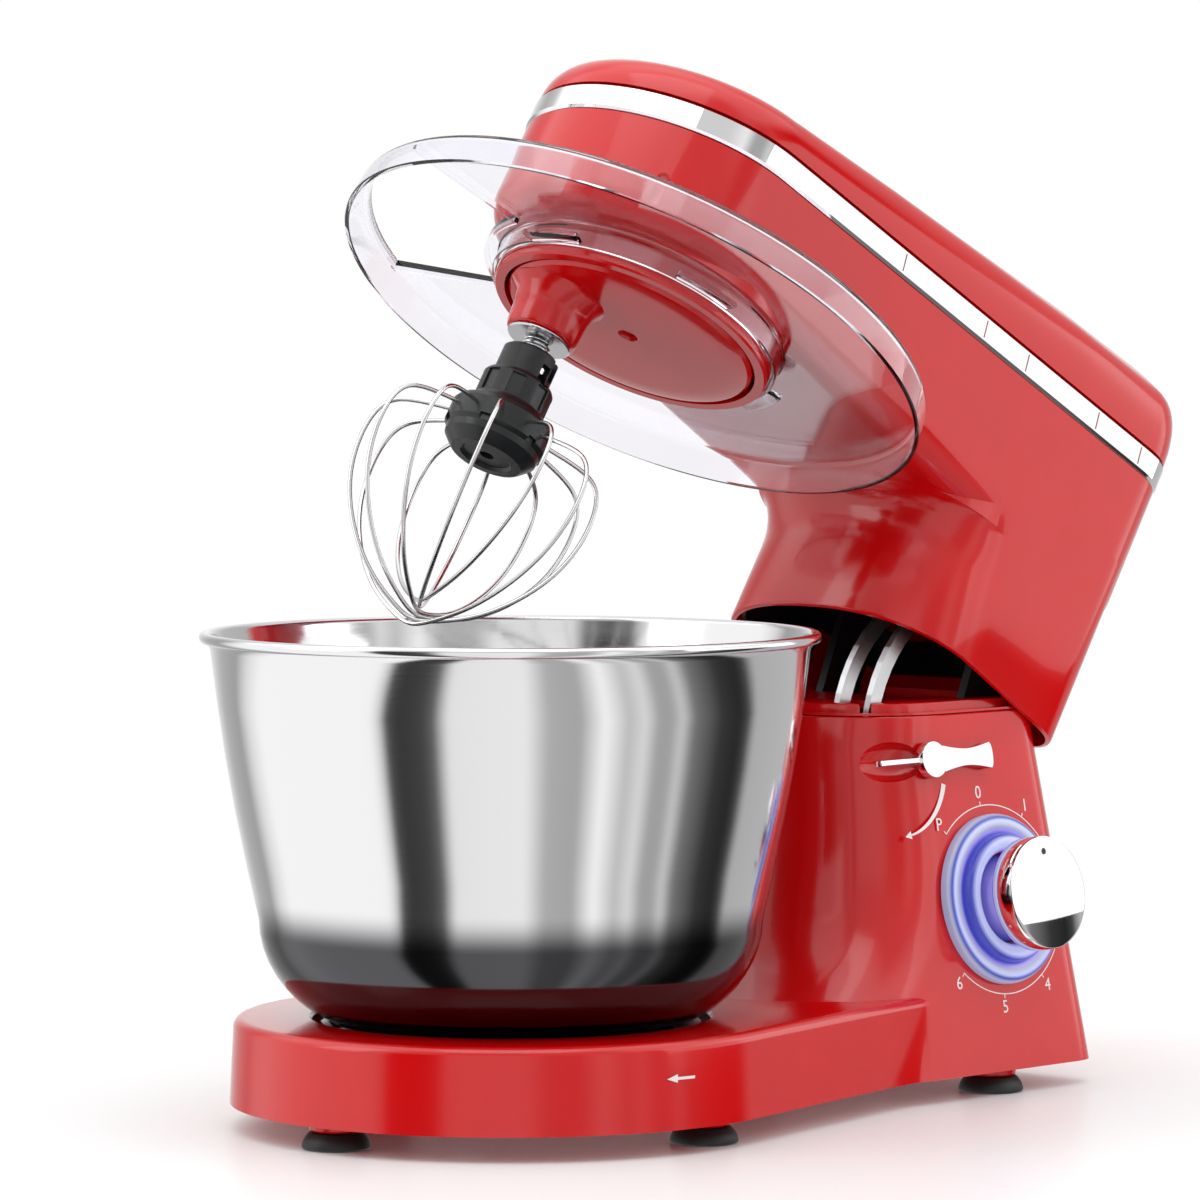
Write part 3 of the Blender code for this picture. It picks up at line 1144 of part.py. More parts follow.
def splash_guard():
    low, high = GUARD_BOTTOM, GUARD_BOTTOM + GUARD_SKIRT
    wall = GUARD_WALL
    inner = COLLAR_RADIUS + RUNNING_GAP
    profile = [(GUARD_RADIUS, low), (GUARD_RADIUS - 0.001, high - 0.003), (GUARD_RADIUS - 0.004, high),
               (inner, high), (inner, low + 0.004), (inner + wall, low + 0.004), (inner + wall, high - wall),
               (GUARD_RADIUS - 0.004, high - wall), (GUARD_RADIUS - wall - 0.001, high - 0.004),
               (GUARD_RADIUS - wall, low)]
    guard = add("splash_guard", lathe(profile, ROUND_STEPS), CLEAR, HEAD)
    start, end = GUARD_OPENING
    opening = arc(GUARD_RADIUS - 0.006, start, end, 8) + arc(inner + wall + 0.006, end, start, 8)
    cut(guard, helper("feed_opening", prism(opening, low - 0.001, high + 0.001), HEAD))
    return guard


# Placing --------------------------------------------------------------------------------------

def centre_on_footprint():
    """Moves the whole model so that its box stands centred on the origin."""
    bpy.context.view_layer.update()
    graph = bpy.context.evaluated_depsgraph_get()
    low, high = Vector((1e9,) * 3), Vector((-1e9,) * 3)
    for obj in bpy.data.objects:
        if obj.type == "EMPTY" or obj.hide_render:
            continue
        shape = obj.evaluated_get(graph)
        mesh = shape.to_mesh()
        for vert in mesh.vertices:
            point = shape.matrix_world @ vert.co
            low = Vector(map(min, low, point))
            high = Vector(map(max, high, point))
        shape.to_mesh_clear()
    MIXER.location = (-(low.x + high.x) / 2, -(low.y + high.y) / 2, -low.z)
    bpy.context.view_layer.update()


def build():
    makers = (base_shell, seat_ring, base_plate, suction_feet, column_cap, plate_screws, hinge_bracket,
              hinge_pin, cord_gland, bowl, bowl_foot, bowl_gasket, light_ring, speed_knob, knob_shaft,
              speed_switch, control_board, lever_handle, lever_shaft, lock_cam, lever_spring,
              head_bottom_shell, trim_band, head_top_shell, neck_liner, head_chassis, latch_arms, latch_pin,
              ring_gear, planet_pinion, planetary_disc, beater_bearing, planetary_shaft, main_bearing,
              beater_shaft, cross_pin, shaft_washer, shaft_spring, reduction_gear, reduction_axle,
              gearbox_cover, motor_body, motor_rotor, whisk_hub, whisk_wires, splash_guard)
    for make in makers:
        make()
    final_bore = PLANETARY_SHAFT_RADIUS + GAP
    drive_gear("final_gear", FINAL_MODULE, FINAL_TEETH, math.pi / 2, final_bore, FINAL_LOW,
               FINAL_LOW + GEAR_WIDTH, PLANETARY_AXIS)
    centre_on_footprint()


build()
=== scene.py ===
import json
import math

import bpy
from mathutils import Matrix, Vector

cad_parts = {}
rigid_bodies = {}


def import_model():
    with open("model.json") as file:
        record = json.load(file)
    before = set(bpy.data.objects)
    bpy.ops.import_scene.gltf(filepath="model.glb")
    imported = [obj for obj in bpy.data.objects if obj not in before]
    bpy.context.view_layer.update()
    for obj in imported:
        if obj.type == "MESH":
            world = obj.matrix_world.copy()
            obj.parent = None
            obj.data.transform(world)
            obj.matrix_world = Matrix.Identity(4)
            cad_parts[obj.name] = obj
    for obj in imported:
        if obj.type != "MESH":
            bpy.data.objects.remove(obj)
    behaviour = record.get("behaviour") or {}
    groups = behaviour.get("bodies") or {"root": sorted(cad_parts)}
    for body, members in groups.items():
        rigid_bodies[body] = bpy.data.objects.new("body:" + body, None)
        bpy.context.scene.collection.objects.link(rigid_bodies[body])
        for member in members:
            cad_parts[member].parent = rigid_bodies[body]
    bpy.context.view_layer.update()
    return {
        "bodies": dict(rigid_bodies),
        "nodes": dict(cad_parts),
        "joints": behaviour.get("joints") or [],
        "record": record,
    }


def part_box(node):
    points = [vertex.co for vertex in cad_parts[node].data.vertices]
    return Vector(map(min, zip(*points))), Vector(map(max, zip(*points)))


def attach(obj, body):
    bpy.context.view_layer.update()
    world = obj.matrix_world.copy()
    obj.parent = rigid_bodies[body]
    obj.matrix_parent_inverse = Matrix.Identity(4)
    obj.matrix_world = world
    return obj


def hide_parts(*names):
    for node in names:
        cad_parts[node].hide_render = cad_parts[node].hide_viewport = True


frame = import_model()

# places read from the frame: the bowl's axis, the level head, the knob, the lever and the whisk
joints = {joint["name"]: joint for joint in frame["joints"]}
hinge = Vector(joints["head_tilt"]["pos_m"])
tilt = -math.radians(joints["head_tilt"]["range_deg"][0])
bowlLow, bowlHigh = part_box("bowl")
home = Matrix.Translation(((bowlLow.x + bowlHigh.x) / 2, (bowlLow.y + bowlHigh.y) / 2, 0))
hingeY = hinge.y - home.translation.y
levelHead = (Matrix.Translation(hinge) @ Matrix.Rotation(-tilt, 4, "X")
             @ Matrix.Translation(-hinge) @ home)


def levelPoint(point):
    return levelHead.inverted() @ Vector(point)


def levelBox(node):
    # lowest and highest corners of a node with the head closed and level
    points = [levelPoint(vert.co) for vert in frame["nodes"][node].data.vertices]
    return (Vector([min(p[i] for p in points) for i in range(3)]),
            Vector([max(p[i] for p in points) for i in range(3)]))


def wallFrame(jointName):
    # +Z straight out of the leaning side wall, +Y to the rear, +X down the wall
    joint = joints[jointName]
    out = -Vector(joint["axis"]).normalized()
    back = Vector((0, 1, 0))
    down = back.cross(out)
    place = Matrix((down, back, out)).transposed().to_4x4()
    place.translation = Vector(joint["pos_m"])
    return place


beaterPoint = levelPoint(joints["beater_spin"]["pos_m"])
beaterAxis = levelHead @ Matrix.Translation((beaterPoint.x, beaterPoint.y, 0))
knobWall = wallFrame("speed_knob_turn")
leverWall = wallFrame("release_lever")


# ---- hands-on helpers
samePoint = 1e-6  # points nearer than this are merged


def deselect():
    if bpy.context.mode != "OBJECT":
        bpy.ops.object.mode_set(mode="OBJECT")
    bpy.ops.object.select_all(action="DESELECT")


def pick(piece):
    deselect()
    piece.select_set(True)
    bpy.context.view_layer.objects.active = piece
    return piece


def settle(piece, place=None):
    # puts the piece in place and writes that place into its mesh
    pick(piece)
    if place is not None:
        piece.matrix_world = place @ piece.matrix_world
    bpy.ops.object.transform_apply(location=True, rotation=True, scale=True)
    return piece


def tidyMesh(piece, holes=False):
    pick(piece)
    bpy.ops.object.mode_set(mode="EDIT")
    bpy.ops.mesh.select_all(action="SELECT")
    bpy.ops.mesh.remove_doubles(threshold=samePoint)
    if holes:
        bpy.ops.mesh.fill_holes(sides=0)
        bpy.ops.mesh.select_all(action="SELECT")
    bpy.ops.mesh.normals_make_consistent(inside=False)
    bpy.ops.object.mode_set(mode="OBJECT")
    return piece


def turned(name, profile, steps=96):
    # a line of (radius, height) points drawn by extruding one point, then spun about Z
    deselect()
    bpy.ops.mesh.primitive_plane_add(size=0.001)
    piece = bpy.context.object
    piece.name = name
    bpy.ops.object.mode_set(mode="EDIT")
    bpy.ops.mesh.select_all(action="SELECT")
    bpy.ops.mesh.merge(type="CENTER")
    bpy.ops.transform.translate(value=(profile[0][0], 0, profile[0][1]))
    for (r0, z0), (r1, z1) in zip(profile, profile[1:]):
        bpy.ops.mesh.extrude_vertices_move(TRANSFORM_OT_translate={"value": (r1 - r0, 0, z1 - z0)})
    bpy.ops.mesh.select_all(action="SELECT")
    bpy.ops.mesh.remove_doubles(threshold=samePoint)
    bpy.ops.mesh.spin(steps=steps, angle=2 * math.pi, center=(0, 0, 0), axis=(0, 0, 1))
    bpy.ops.object.mode_set(mode="OBJECT")
    return tidyMesh(piece)


def skinned(name, rings, capped=True):
    # a grid wrapped round through rings of equally many points
    across, along = len(rings[0]), len(rings)
    deselect()
    bpy.ops.mesh.primitive_grid_add(x_subdivisions=across, y_subdivisions=along - 1, size=1)
    piece = bpy.context.object
    piece.name = name
    for number, vert in enumerate(piece.data.vertices):
        row, column = divmod(number, across + 1)
        vert.co = rings[row][column % across]
    return tidyMesh(piece, holes=capped)


def slab(name, outline, low, high):
    return skinned(name, [[(x, y, low) for x, y in outline], [(x, y, high) for x, y in outline]])


def boxed(name, low, high):
    outline = [(low[0], low[1]), (high[0], low[1]), (high[0], high[1]), (low[0], high[1])]
    return slab(name, outline, low[2], high[2])


def applied(piece, kind, **settings):
    pick(piece)
    mod = piece.modifiers.new(kind.title(), kind)
    for key, value in settings.items():
        setattr(mod, key, value)
    bpy.ops.object.modifier_apply(modifier=mod.name)
    return piece


def carved(piece, *tools, operation="DIFFERENCE"):
    for tool in tools:
        applied(piece, "BOOLEAN", operation=operation, solver="EXACT", object=tool)
        bpy.data.objects.remove(tool, do_unlink=True)
    return piece


def welded(piece, *others):
    return carved(piece, *others, operation="UNION")


def rounded(piece, width, segments=3, angle=35):
    return applied(piece, "BEVEL", width=width, segments=segments, limit_method="ANGLE",
                   angle_limit=math.radians(angle), harden_normals=False)


def smoothed(piece, angle=32):
    pick(piece)
    bpy.ops.object.shade_smooth_by_angle(angle=math.radians(angle))
    return piece


def wired(name, points, radius, smooth=True, resolution=4, ends=True):
    # a round wire along the points, turned into a mesh
    deselect()
    bpy.ops.curve.primitive_bezier_curve_add()
    piece = bpy.context.object
    piece.name = name
    curve = piece.data
    curve.splines.clear()
    spline = curve.splines.new("NURBS" if smooth else "POLY")
    spline.points.add(len(points) - 1)
    for target, point in zip(spline.points, points):
        target.co = (*point, 1)
    if smooth:
        spline.order_u = 4
        spline.use_endpoint_u = True
        spline.resolution_u = 4
    curve.dimensions = "3D"
    curve.bevel_depth = radius
    curve.bevel_resolution = resolution
    curve.use_fill_caps = ends
    pick(piece)
    bpy.ops.object.convert(target="MESH")
    return tidyMesh(bpy.context.object)


def arcPoints(radius, start, end, steps, centre=(0, 0)):
    turns = [start + (end - start) * i / steps for i in range(steps + 1)]
    return [(centre[0] + radius * math.cos(t), centre[1] + radius * math.sin(t)) for t in turns]


def mirroredOutline(half):
    return half + [(-x, y) for x, y in half[-2:0:-1]]


def dOutline(halfWidth, front, rear, depth, rearRadius, squareness=2.0, steps=28):
    # rounded in front, straight at the sides, squarer behind
    power = 2 / squareness
    half = []
    for i in range(steps + 1):
        t = math.pi / 2 * i / steps
        half.append((halfWidth * math.sin(t) ** power, front + depth - depth * math.cos(t) ** power))
    corner = (halfWidth - rearRadius, rear - rearRadius)
    straight = corner[1] - front - depth
    half += [(halfWidth, front + depth + straight * share) for share in (0.25, 0.5, 0.75)]
    half += arcPoints(rearRadius, 0, math.pi / 2, 8, corner)
    half += [(corner[0] / 2, rear), (0, rear)]
    return mirroredOutline(half)


def finished(piece, material, body, slot, *nodes, place=None, angle=32):
    smoothed(piece, angle)
    settle(piece, place)
    piece.data.materials.clear()
    piece.data.materials.append(material)
    for face in piece.data.polygons:
        face.material_index = 0
    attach(piece, body)
    if nodes:
        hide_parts(*nodes)
    return piece


# ---- camera: three quarters from the right, a little above the bowl's rim
cameraSettings = {"right": 1.690, "front": -1.6733, "height": 0.3255, "pitch": 87.21, "turn": 44.43,
                  "lens": 179.5}


def setCamera(s):
    bpy.ops.object.camera_add()
    camera = bpy.context.object
    camera.location = home @ Vector((s["right"], s["front"], s["height"]))
    camera.rotation_euler = (math.radians(s["pitch"]), 0, math.radians(s["turn"]))
    camera.data.lens = s["lens"]
    camera.data.sensor_width = 36
    camera.data.clip_start = 0.05
    camera.data.clip_end = 50
    bpy.context.scene.camera = camera


setCamera(cameraSettings)
bpy.context.scene.view_settings.view_transform = "Standard"
print("camera set")


# ---- materials
def connect(tree, source, output, target, socket):
    tree.links.new(source.outputs[output], target.inputs[socket])


def patternSpace(tree, scale=(1, 1, 1), location=(0, 0, 0)):
    coords = tree.nodes.new("ShaderNodeTexCoord")
    mapping = tree.nodes.new("ShaderNodeMapping")
    mapping.inputs["Scale"].default_value = scale
    mapping.inputs["Location"].default_value = location
    connect(tree, coords, "Object", mapping, "Vector")
    return mapping


def noiseField(tree, mapping, scale, detail=3):
    noise = tree.nodes.new("ShaderNodeTexNoise")
    noise.inputs["Scale"].default_value = scale
    noise.inputs["Detail"].default_value = detail
    connect(tree, mapping, "Vector", noise, "Vector")
    return noise


def fillRamp(ramp, stops):
    # a new ramp has two stops already, and the rest are added
    elements = ramp.color_ramp.elements
    for number, (spot, color) in enumerate(stops):
        element = elements[number] if number < 2 else elements.new(spot)
        element.position = spot
        element.color = (*color, 1)
    return ramp


def surface(name, s):
    # colour mottle, roughness wear and a fine bump, all in the piece's own space
    mat = bpy.data.materials.new(name)
    mat.use_nodes = True
    tree = mat.node_tree
    shader = tree.nodes["Principled BSDF"]
    color = s["color"]
    mat.diffuse_color = (*color, 1)
    shader.inputs["Metallic"].default_value = s.get("metallic", 0)
    shader.inputs["IOR"].default_value = s.get("ior", 1.47)
    shader.inputs["Coat Weight"].default_value = s.get("coat", 0)
    shader.inputs["Coat Roughness"].default_value = s.get("coatRoughness", 0.03)
    shader.inputs["Transmission Weight"].default_value = s.get("transmission", 0)
    shader.inputs["Specular IOR Level"].default_value = s.get("specular", 0.5)
    stretch = s.get("stretch", (1, 1, 1))
    mapping = patternSpace(tree, stretch)
    broad = noiseField(tree, mapping, s.get("mottleScale", 30), 4)
    ramp = tree.nodes.new("ShaderNodeValToRGB")
    spread = s.get("mottle", 0.05)
    ramp.color_ramp.elements[0].position = 0.3
    ramp.color_ramp.elements[1].position = 0.7
    ramp.color_ramp.elements[0].color = (*[c * (1 - spread) for c in color], 1)
    ramp.color_ramp.elements[1].color = (*[min(1, c * (1 + spread)) for c in color], 1)
    connect(tree, broad, "Fac", ramp, "Fac")
    connect(tree, ramp, "Color", shader, "Base Color")
    fine = noiseField(tree, mapping, s.get("grainScale", 900), 2)
    wear = tree.nodes.new("ShaderNodeMapRange")
    wear.inputs["To Min"].default_value = s["roughness"] * (1 - s.get("wear", 0.15))
    wear.inputs["To Max"].default_value = s["roughness"] * (1 + s.get("wear", 0.15))
    connect(tree, fine, "Fac", wear, "Value")
    connect(tree, wear, "Result", shader, "Roughness")
    bump = tree.nodes.new("ShaderNodeBump")
    bump.inputs["Strength"].default_value = s.get("bump", 0.05)
    bump.inputs["Distance"].default_value = s.get("bumpHeight", 0.0002)
    connect(tree, fine, "Fac", bump, "Height")
    connect(tree, bump, "Normal", shader, "Normal")
    if s.get("glow"):
        shader.inputs["Emission Color"].default_value = (*s["glowColor"], 1)
        shader.inputs["Emission Strength"].default_value = s["glow"]
    return mat


finishes = {
    "redGloss": {"color": (0.60, 0.0022, 0.0035), "roughness": 0.16, "coat": 0.35, "mottle": 0.03,
                 "grainScale": 420, "bump": 0.025},
    "blackSatin": {"color": (0.013, 0.014, 0.015), "roughness": 0.30, "mottle": 0.15, "grainScale": 1400,
                   "bump": 0.10},
    "blackRubber": {"color": (0.010, 0.010, 0.010), "roughness": 0.52, "mottle": 0.2, "grainScale": 1800,
                    "bump": 0.25},
    "whiskWire": {"color": (0.70, 0.70, 0.70), "roughness": 0.14, "metallic": 1, "mottle": 0.06,
                  "grainScale": 1500, "bump": 0.04},
    "turnedSteel": {"color": (0.66, 0.66, 0.67), "roughness": 0.17, "metallic": 1, "mottle": 0.05,
                    "grainScale": 900, "bump": 0.05},
    "platedSteel": {"color": (0.70, 0.71, 0.72), "roughness": 0.30, "metallic": 1, "mottle": 0.08,
                    "grainScale": 700, "bump": 0.08},
    "mirrorChrome": {"color": (0.86, 0.86, 0.87), "roughness": 0.035, "metallic": 1, "mottle": 0.01,
                     "grainScale": 600, "bump": 0.004},
    "castMetal": {"color": (0.45, 0.45, 0.46), "roughness": 0.5, "metallic": 1, "mottle": 0.12,
                  "grainScale": 500, "bump": 0.35},
    # near black cast metal: painted shade for parts deep inside the neck and column
    "castInPaintedShade": {"color": (0.012, 0.012, 0.013), "roughness": 0.5, "mottle": 0.15, "grainScale": 500,
                  "bump": 0.3},
    "gearNylon": {"color": (0.78, 0.76, 0.68), "roughness": 0.42, "mottle": 0.05, "grainScale": 900,
                  "bump": 0.06},
    "copperWinding": {"color": (0.58, 0.25, 0.09), "roughness": 0.32, "metallic": 1, "mottle": 0.2,
                      "stretch": (1, 1, 25), "grainScale": 120, "bump": 0.5},
    "boardGreen": {"color": (0.02, 0.16, 0.05), "roughness": 0.4, "mottle": 0.25, "mottleScale": 200,
                   "grainScale": 600, "bump": 0.2},
    "markWhite": {"color": (0.86, 0.80, 0.79), "roughness": 0.4, "mottle": 0.03, "grainScale": 900,
                  "bump": 0.03},
    "markRed": {"color": (0.30, 0.02, 0.02), "roughness": 0.4, "mottle": 0.03, "grainScale": 900,
                "bump": 0.03},
    "clearGuard": {"color": (0.95, 0.94, 0.985), "roughness": 0.03, "transmission": 1.0, "ior": 1.45,
                   "mottle": 0.01, "grainScale": 90, "bump": 0.02},
}
paint = {name: surface(name, settings) for name, settings in finishes.items()}


def bowlSteel(s):
    # polished steel with fine turned lines; the rounded bottom is painted dark grey below a height, a painted
    # reflection of dark surroundings
    mat = bpy.data.materials.new("bowlSteel")
    mat.use_nodes = True
    tree = mat.node_tree
    shader = tree.nodes["Principled BSDF"]
    shader.inputs["Metallic"].default_value = 1
    centre = home.translation
    mapping = patternSpace(tree, location=(-centre.x, -centre.y, 0))
    split = tree.nodes.new("ShaderNodeSeparateXYZ")
    connect(tree, mapping, "Vector", split, "Vector")
    lines = tree.nodes.new("ShaderNodeTexNoise")
    lines.noise_dimensions = "1D"
    lines.inputs["Scale"].default_value = s["lineScale"]
    lines.inputs["Detail"].default_value = 4
    connect(tree, split, "Z", lines, "W")
    height = tree.nodes.new("ShaderNodeMapRange")
    height.interpolation_type = "SMOOTHSTEP"
    height.inputs["From Min"].default_value = s["darkBelow"]
    height.inputs["From Max"].default_value = s["brightAbove"]
    connect(tree, split, "Z", height, "Value")
    # painted reflection: the base colour runs from dark grey at the bottom up to plain steel
    ramp = tree.nodes.new("ShaderNodeValToRGB")
    ramp.color_ramp.elements[0].color = (*s["paintedReflectionColor"], 1)
    ramp.color_ramp.elements[1].color = (*s["color"], 1)
    connect(tree, height, "Result", ramp, "Fac")
    connect(tree, ramp, "Color", shader, "Base Color")
    rough = tree.nodes.new("ShaderNodeMapRange")
    rough.inputs["To Min"].default_value = s["roughness"] * 0.8
    rough.inputs["To Max"].default_value = s["roughness"] * 1.3
    connect(tree, lines, "Fac", rough, "Value")
    connect(tree, rough, "Result", shader, "Roughness")
    bump = tree.nodes.new("ShaderNodeBump")
    bump.inputs["Strength"].default_value = s["lineDepth"]
    bump.inputs["Distance"].default_value = 0.0001
    connect(tree, lines, "Fac", bump, "Height")
    connect(tree, bump, "Normal", shader, "Normal")
    return mat


# the dark low colour is a painted reflection in the bowl's rounded bottom
paint["bowlSteel"] = bowlSteel({"color": (0.80, 0.80, 0.81), "paintedReflectionColor": (0.085, 0.085, 0.09),
                                "roughness": 0.10,
                                "lineScale": 900, "lineDepth": 0.03, "darkBelow": 0.078, "brightAbove": 0.094})


def ringGlass(s):
    # milky glass lit from inside: the ridges are pale and the grooves between them deep blue
    mat = surface("ringGlass", s)
    tree = mat.node_tree
    shader = tree.nodes["Principled BSDF"]
    centre = knobWall.translation
    away = tree.nodes.new("ShaderNodeVectorMath")
    away.operation = "LENGTH"
    connect(tree, patternSpace(tree, location=tuple(-centre)), "Vector", away, 0)
    share = tree.nodes.new("ShaderNodeMapRange")
    share.inputs["From Min"].default_value = s["inner"]
    share.inputs["From Max"].default_value = s["outer"]
    connect(tree, away, "Value", share, "Value")
    ramp = fillRamp(tree.nodes.new("ShaderNodeValToRGB"), s["rings"])
    connect(tree, share, "Result", ramp, "Fac")
    connect(tree, ramp, "Color", shader, "Base Color")
    connect(tree, ramp, "Color", shader, "Emission Color")
    return mat


paleBlue, deepBlue = (0.55, 0.60, 0.88), (0.03, 0.05, 0.38)
violet, clearGrey = (0.38, 0.30, 0.85), (0.40, 0.42, 0.50)
paint["litRing"] = ringGlass({
    "color": (0.42, 0.45, 0.92), "roughness": 0.10, "transmission": 0.25, "ior": 1.46, "mottle": 0.15,
    "mottleScale": 60, "grainScale": 300, "bump": 0.03, "glow": 0.35, "glowColor": (0.28, 0.34, 1.0),
    "inner": 0.0195, "outer": 0.0365,
    "rings": [(0.0, deepBlue), (0.12, violet), (0.22, paleBlue), (0.40, paleBlue), (0.47, deepBlue),
              (0.55, violet),
              (0.64, clearGrey), (0.78, paleBlue), (0.86, deepBlue), (0.93, clearGrey), (1.0, deepBlue)],
})
print("materials made:", len(paint))


# ---- bowl: spun steel with a rolled edge
bowlParts = {"wall": 0.0012, "bead": 0.0022, "floorRadius": 0.058, "sideRadius": 0.1005, "sideRise": 0.0435,
             "steps": 144}


def makeBowl(s):
    rim, top, bottom = (bowlHigh.x - bowlLow.x) / 2, bowlHigh.z, bowlLow.z
    line = [(0, bottom), (s["floorRadius"] * 0.5, bottom), (s["floorRadius"] * 0.9, bottom)]
    for i in range(13):
        turn = math.pi / 2 * i / 12
        reach = s["sideRadius"] - s["floorRadius"]
        line.append((s["floorRadius"] + reach * math.sin(turn) ** 1.12,
                     bottom + s["sideRise"] * (1 - math.cos(turn))))
    low, high = line[-1], (rim - 2 * s["bead"], top - 3 * s["bead"])
    for share in (0.2, 0.4, 0.6, 0.8, 1.0):
        swell = 0.0018 * math.sin(math.pi * share)
        line.append((low[0] + (high[0] - low[0]) * share + swell, low[1] + (high[1] - low[1]) * share))
    inside = [(max(0, r - s["wall"]), z + s["wall"] * 0.6) for r, z in line[:0:-1]]
    beadCentre = (rim - s["bead"], top - s["bead"])
    roll = arcPoints(s["bead"], -math.pi * 0.6, math.pi * 1.02, 14, beadCentre)
    piece = turned("steelBowl", line + roll + inside + [(0, bottom + s["wall"])], s["steps"])
    return finished(piece, paint["bowlSteel"], "bowl", "polished_steel", "bowl", place=home, angle=50)


makeBowl(bowlParts)


# ---- base and column in one moulding
baseParts = {"radius": 0.1123, "top": 0.044, "bottom": 0.010, "draft": 0.0015, "edge": 0.004, "wall": 0.0026,
             "columnTop": 0.1575, "halfWidth": 0.060, "straight": 0.0115, "front": 0.146, "rear": 0.260,
             "noseDepth": 0.048, "rearRadius": 0.018, "sideLean": 10.0, "rearLean": 4.0, "squareness": 2.3,
             "seatRadius": 0.0795, "seatDepth": 0.009, "sweep": 0.040, "steps": 28}


def columnHalf(s, z):
    lean = math.tan(math.radians(s["sideLean"]))
    return s["halfWidth"] + max(0.0, s["columnTop"] - s["straight"] - z) * lean


def columnRing(s, z, inset=0.0):
    rise = max(0.0, z - s["top"]) / (s["columnTop"] - s["top"])
    sweep = s["sweep"] * (1 - rise) ** 5 + 0.008 * (1 - rise)
    rear = s["rear"] + (s["columnTop"] - z) * math.tan(math.radians(s["rearLean"])) - inset
    return dOutline(columnHalf(s, z) - inset, s["front"] - sweep + inset, rear,
                    s["noseDepth"] + sweep / 2 - inset, s["rearRadius"] - inset, s["squareness"], s["steps"])


def columnBlock(name, s, inset, low, high, edge=0.0):
    levels = [low, s["top"] - 0.004]
    levels += [s["top"] + (s["columnTop"] - s["straight"] - s["top"]) * (i / 18) ** 1.5 for i in range(19)]
    rings = [[(x, y, z) for x, y in columnRing(s, z, inset)] for z in levels]
    if edge:
        for i in range(4):
            turn = math.pi / 2 * i / 3
            z = high - edge * (1 - math.sin(turn))
            rings.append([(x, y, z) for x, y in columnRing(s, high - edge,
                                                           inset + edge * (1 - math.cos(turn)))])
    else:
        rings.append([(x, y, high) for x, y in columnRing(s, high, inset)])
    return skinned(name, rings)


def deckOutline(s, radius, inset):
    side = (columnHalf(s, s["bottom"]) + 0.002 - inset, s["front"] - 0.016)
    tangent = math.atan2(side[1], side[0]) - math.acos(radius / math.hypot(*side))
    tail = (columnHalf(s, s["top"]) - 0.006 - inset, s["rear"] - 0.050)
    run = [(side[0] + (tail[0] - side[0]) * i / 3, side[1] + (tail[1] - side[1]) * i / 3) for i in range(4)]
    return mirroredOutline(arcPoints(radius, -math.pi / 2, tangent, 52) + run + [(0, tail[1])])


def deckBlock(name, s, inset, low, high, edge):
    rings = [[(x, y, low) for x, y in deckOutline(s, s["radius"] - inset, inset)]]
    for i in range(7):
        turn = math.pi / 2 * i / 6
        shrink = s["draft"] + edge * (1 - math.cos(turn))
        z = high - edge * (1 - math.sin(turn))
        rings.append([(x, y, z) for x, y in deckOutline(s, s["radius"] - inset - shrink, inset + shrink)])
    return skinned(name, rings)


def makeBase(s):
    below = s["bottom"] - 0.002
    piece = deckBlock("baseMoulding", s, 0, s["bottom"], s["top"], s["edge"])
    welded(piece, columnBlock("columnOutside", s, 0, s["bottom"], s["columnTop"], 0.0012))
    seatEdge = 0.0012
    floor = s["top"] - s["seatDepth"]
    carved(piece, deckBlock("deckInside", s, s["wall"], below, floor - s["wall"], 0.001),
           columnBlock("columnInside", s, s["wall"], below, s["columnTop"] + 0.001))
    seat = turned("seatCut", [(0, floor), (s["seatRadius"], floor), (s["seatRadius"], s["top"] - seatEdge),
                              (s["seatRadius"] + seatEdge, s["top"]), (s["seatRadius"] + seatEdge,
                                                                       s["top"] + 0.01),
                              (0, s["top"] + 0.01)], 96)
    knobHole = settle(turned("knobHole", [(0, -0.012), (0.012, -0.012), (0.012, 0.006), (0, 0.006)], 40),
                      home.inverted() @ knobWall)
    shaftHole = settle(turned("leverHole", [(0, -0.012), (0.0046, -0.012), (0.0046, 0.006), (0, 0.006)], 32),
                       home.inverted() @ leverWall)
    carved(piece, seat, knobHole, shaftHole)
    return piece


def leverPocket(piece, s, p):
    # an oval scoop for a fingertip in front of the lever, with a wall of its own inside
    pivot = home.inverted() @ leverWall.translation
    for size, operation in ((p["wall"], "UNION"), (0.0, "DIFFERENCE")):
        deselect()
        bpy.ops.mesh.primitive_uv_sphere_add(segments=48, ring_count=24, radius=1)
        scoop = bpy.context.object
        scoop.scale = (p["depth"] + size, p["halfLength"] + size, p["halfHeight"] + size)
        scoop.rotation_euler = (0, 0, math.radians(p["turn"]))
        scoop.location = (pivot.x - p["inward"], pivot.y - p["ahead"], pivot.z)
        settle(scoop)
        if operation == "UNION":
            column = columnBlock("pocketTrim", s, s["wall"] / 2, s["bottom"], s["columnTop"] - 0.003)
            applied(scoop, "BOOLEAN", operation="INTERSECT", solver="EXACT", object=column)
            bpy.data.objects.remove(column, do_unlink=True)
        carved(piece, scoop, operation=operation)
    return piece


baseMoulding = makeBase(baseParts)
leverPocket(baseMoulding, baseParts, {"wall": 0.0015, "depth": 0.0075, "halfLength": 0.0165,
                                      "halfHeight": 0.0085,
                                      "turn": -24, "inward": 0.0065, "ahead": 0.0165})
glandLow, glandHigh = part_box("cord_gland")
glandAxis = (Matrix.Translation(((glandLow.x + glandHigh.x) / 2, glandLow.y + 0.0063,
                                 (glandLow.z + glandHigh.z) / 2)) @ Matrix.Rotation(math.radians(-86), 4, "X"))
glandHole = settle(turned("glandHole", [(0, -0.02), (0.0071, -0.02), (0.0071, 0.02), (0, 0.02)], 32),
                   home.inverted() @ glandAxis)
carved(baseMoulding, glandHole)
finished(baseMoulding, paint["redGloss"], "base", "red_plastic", "base_shell", place=home, angle=28)
print("base done")


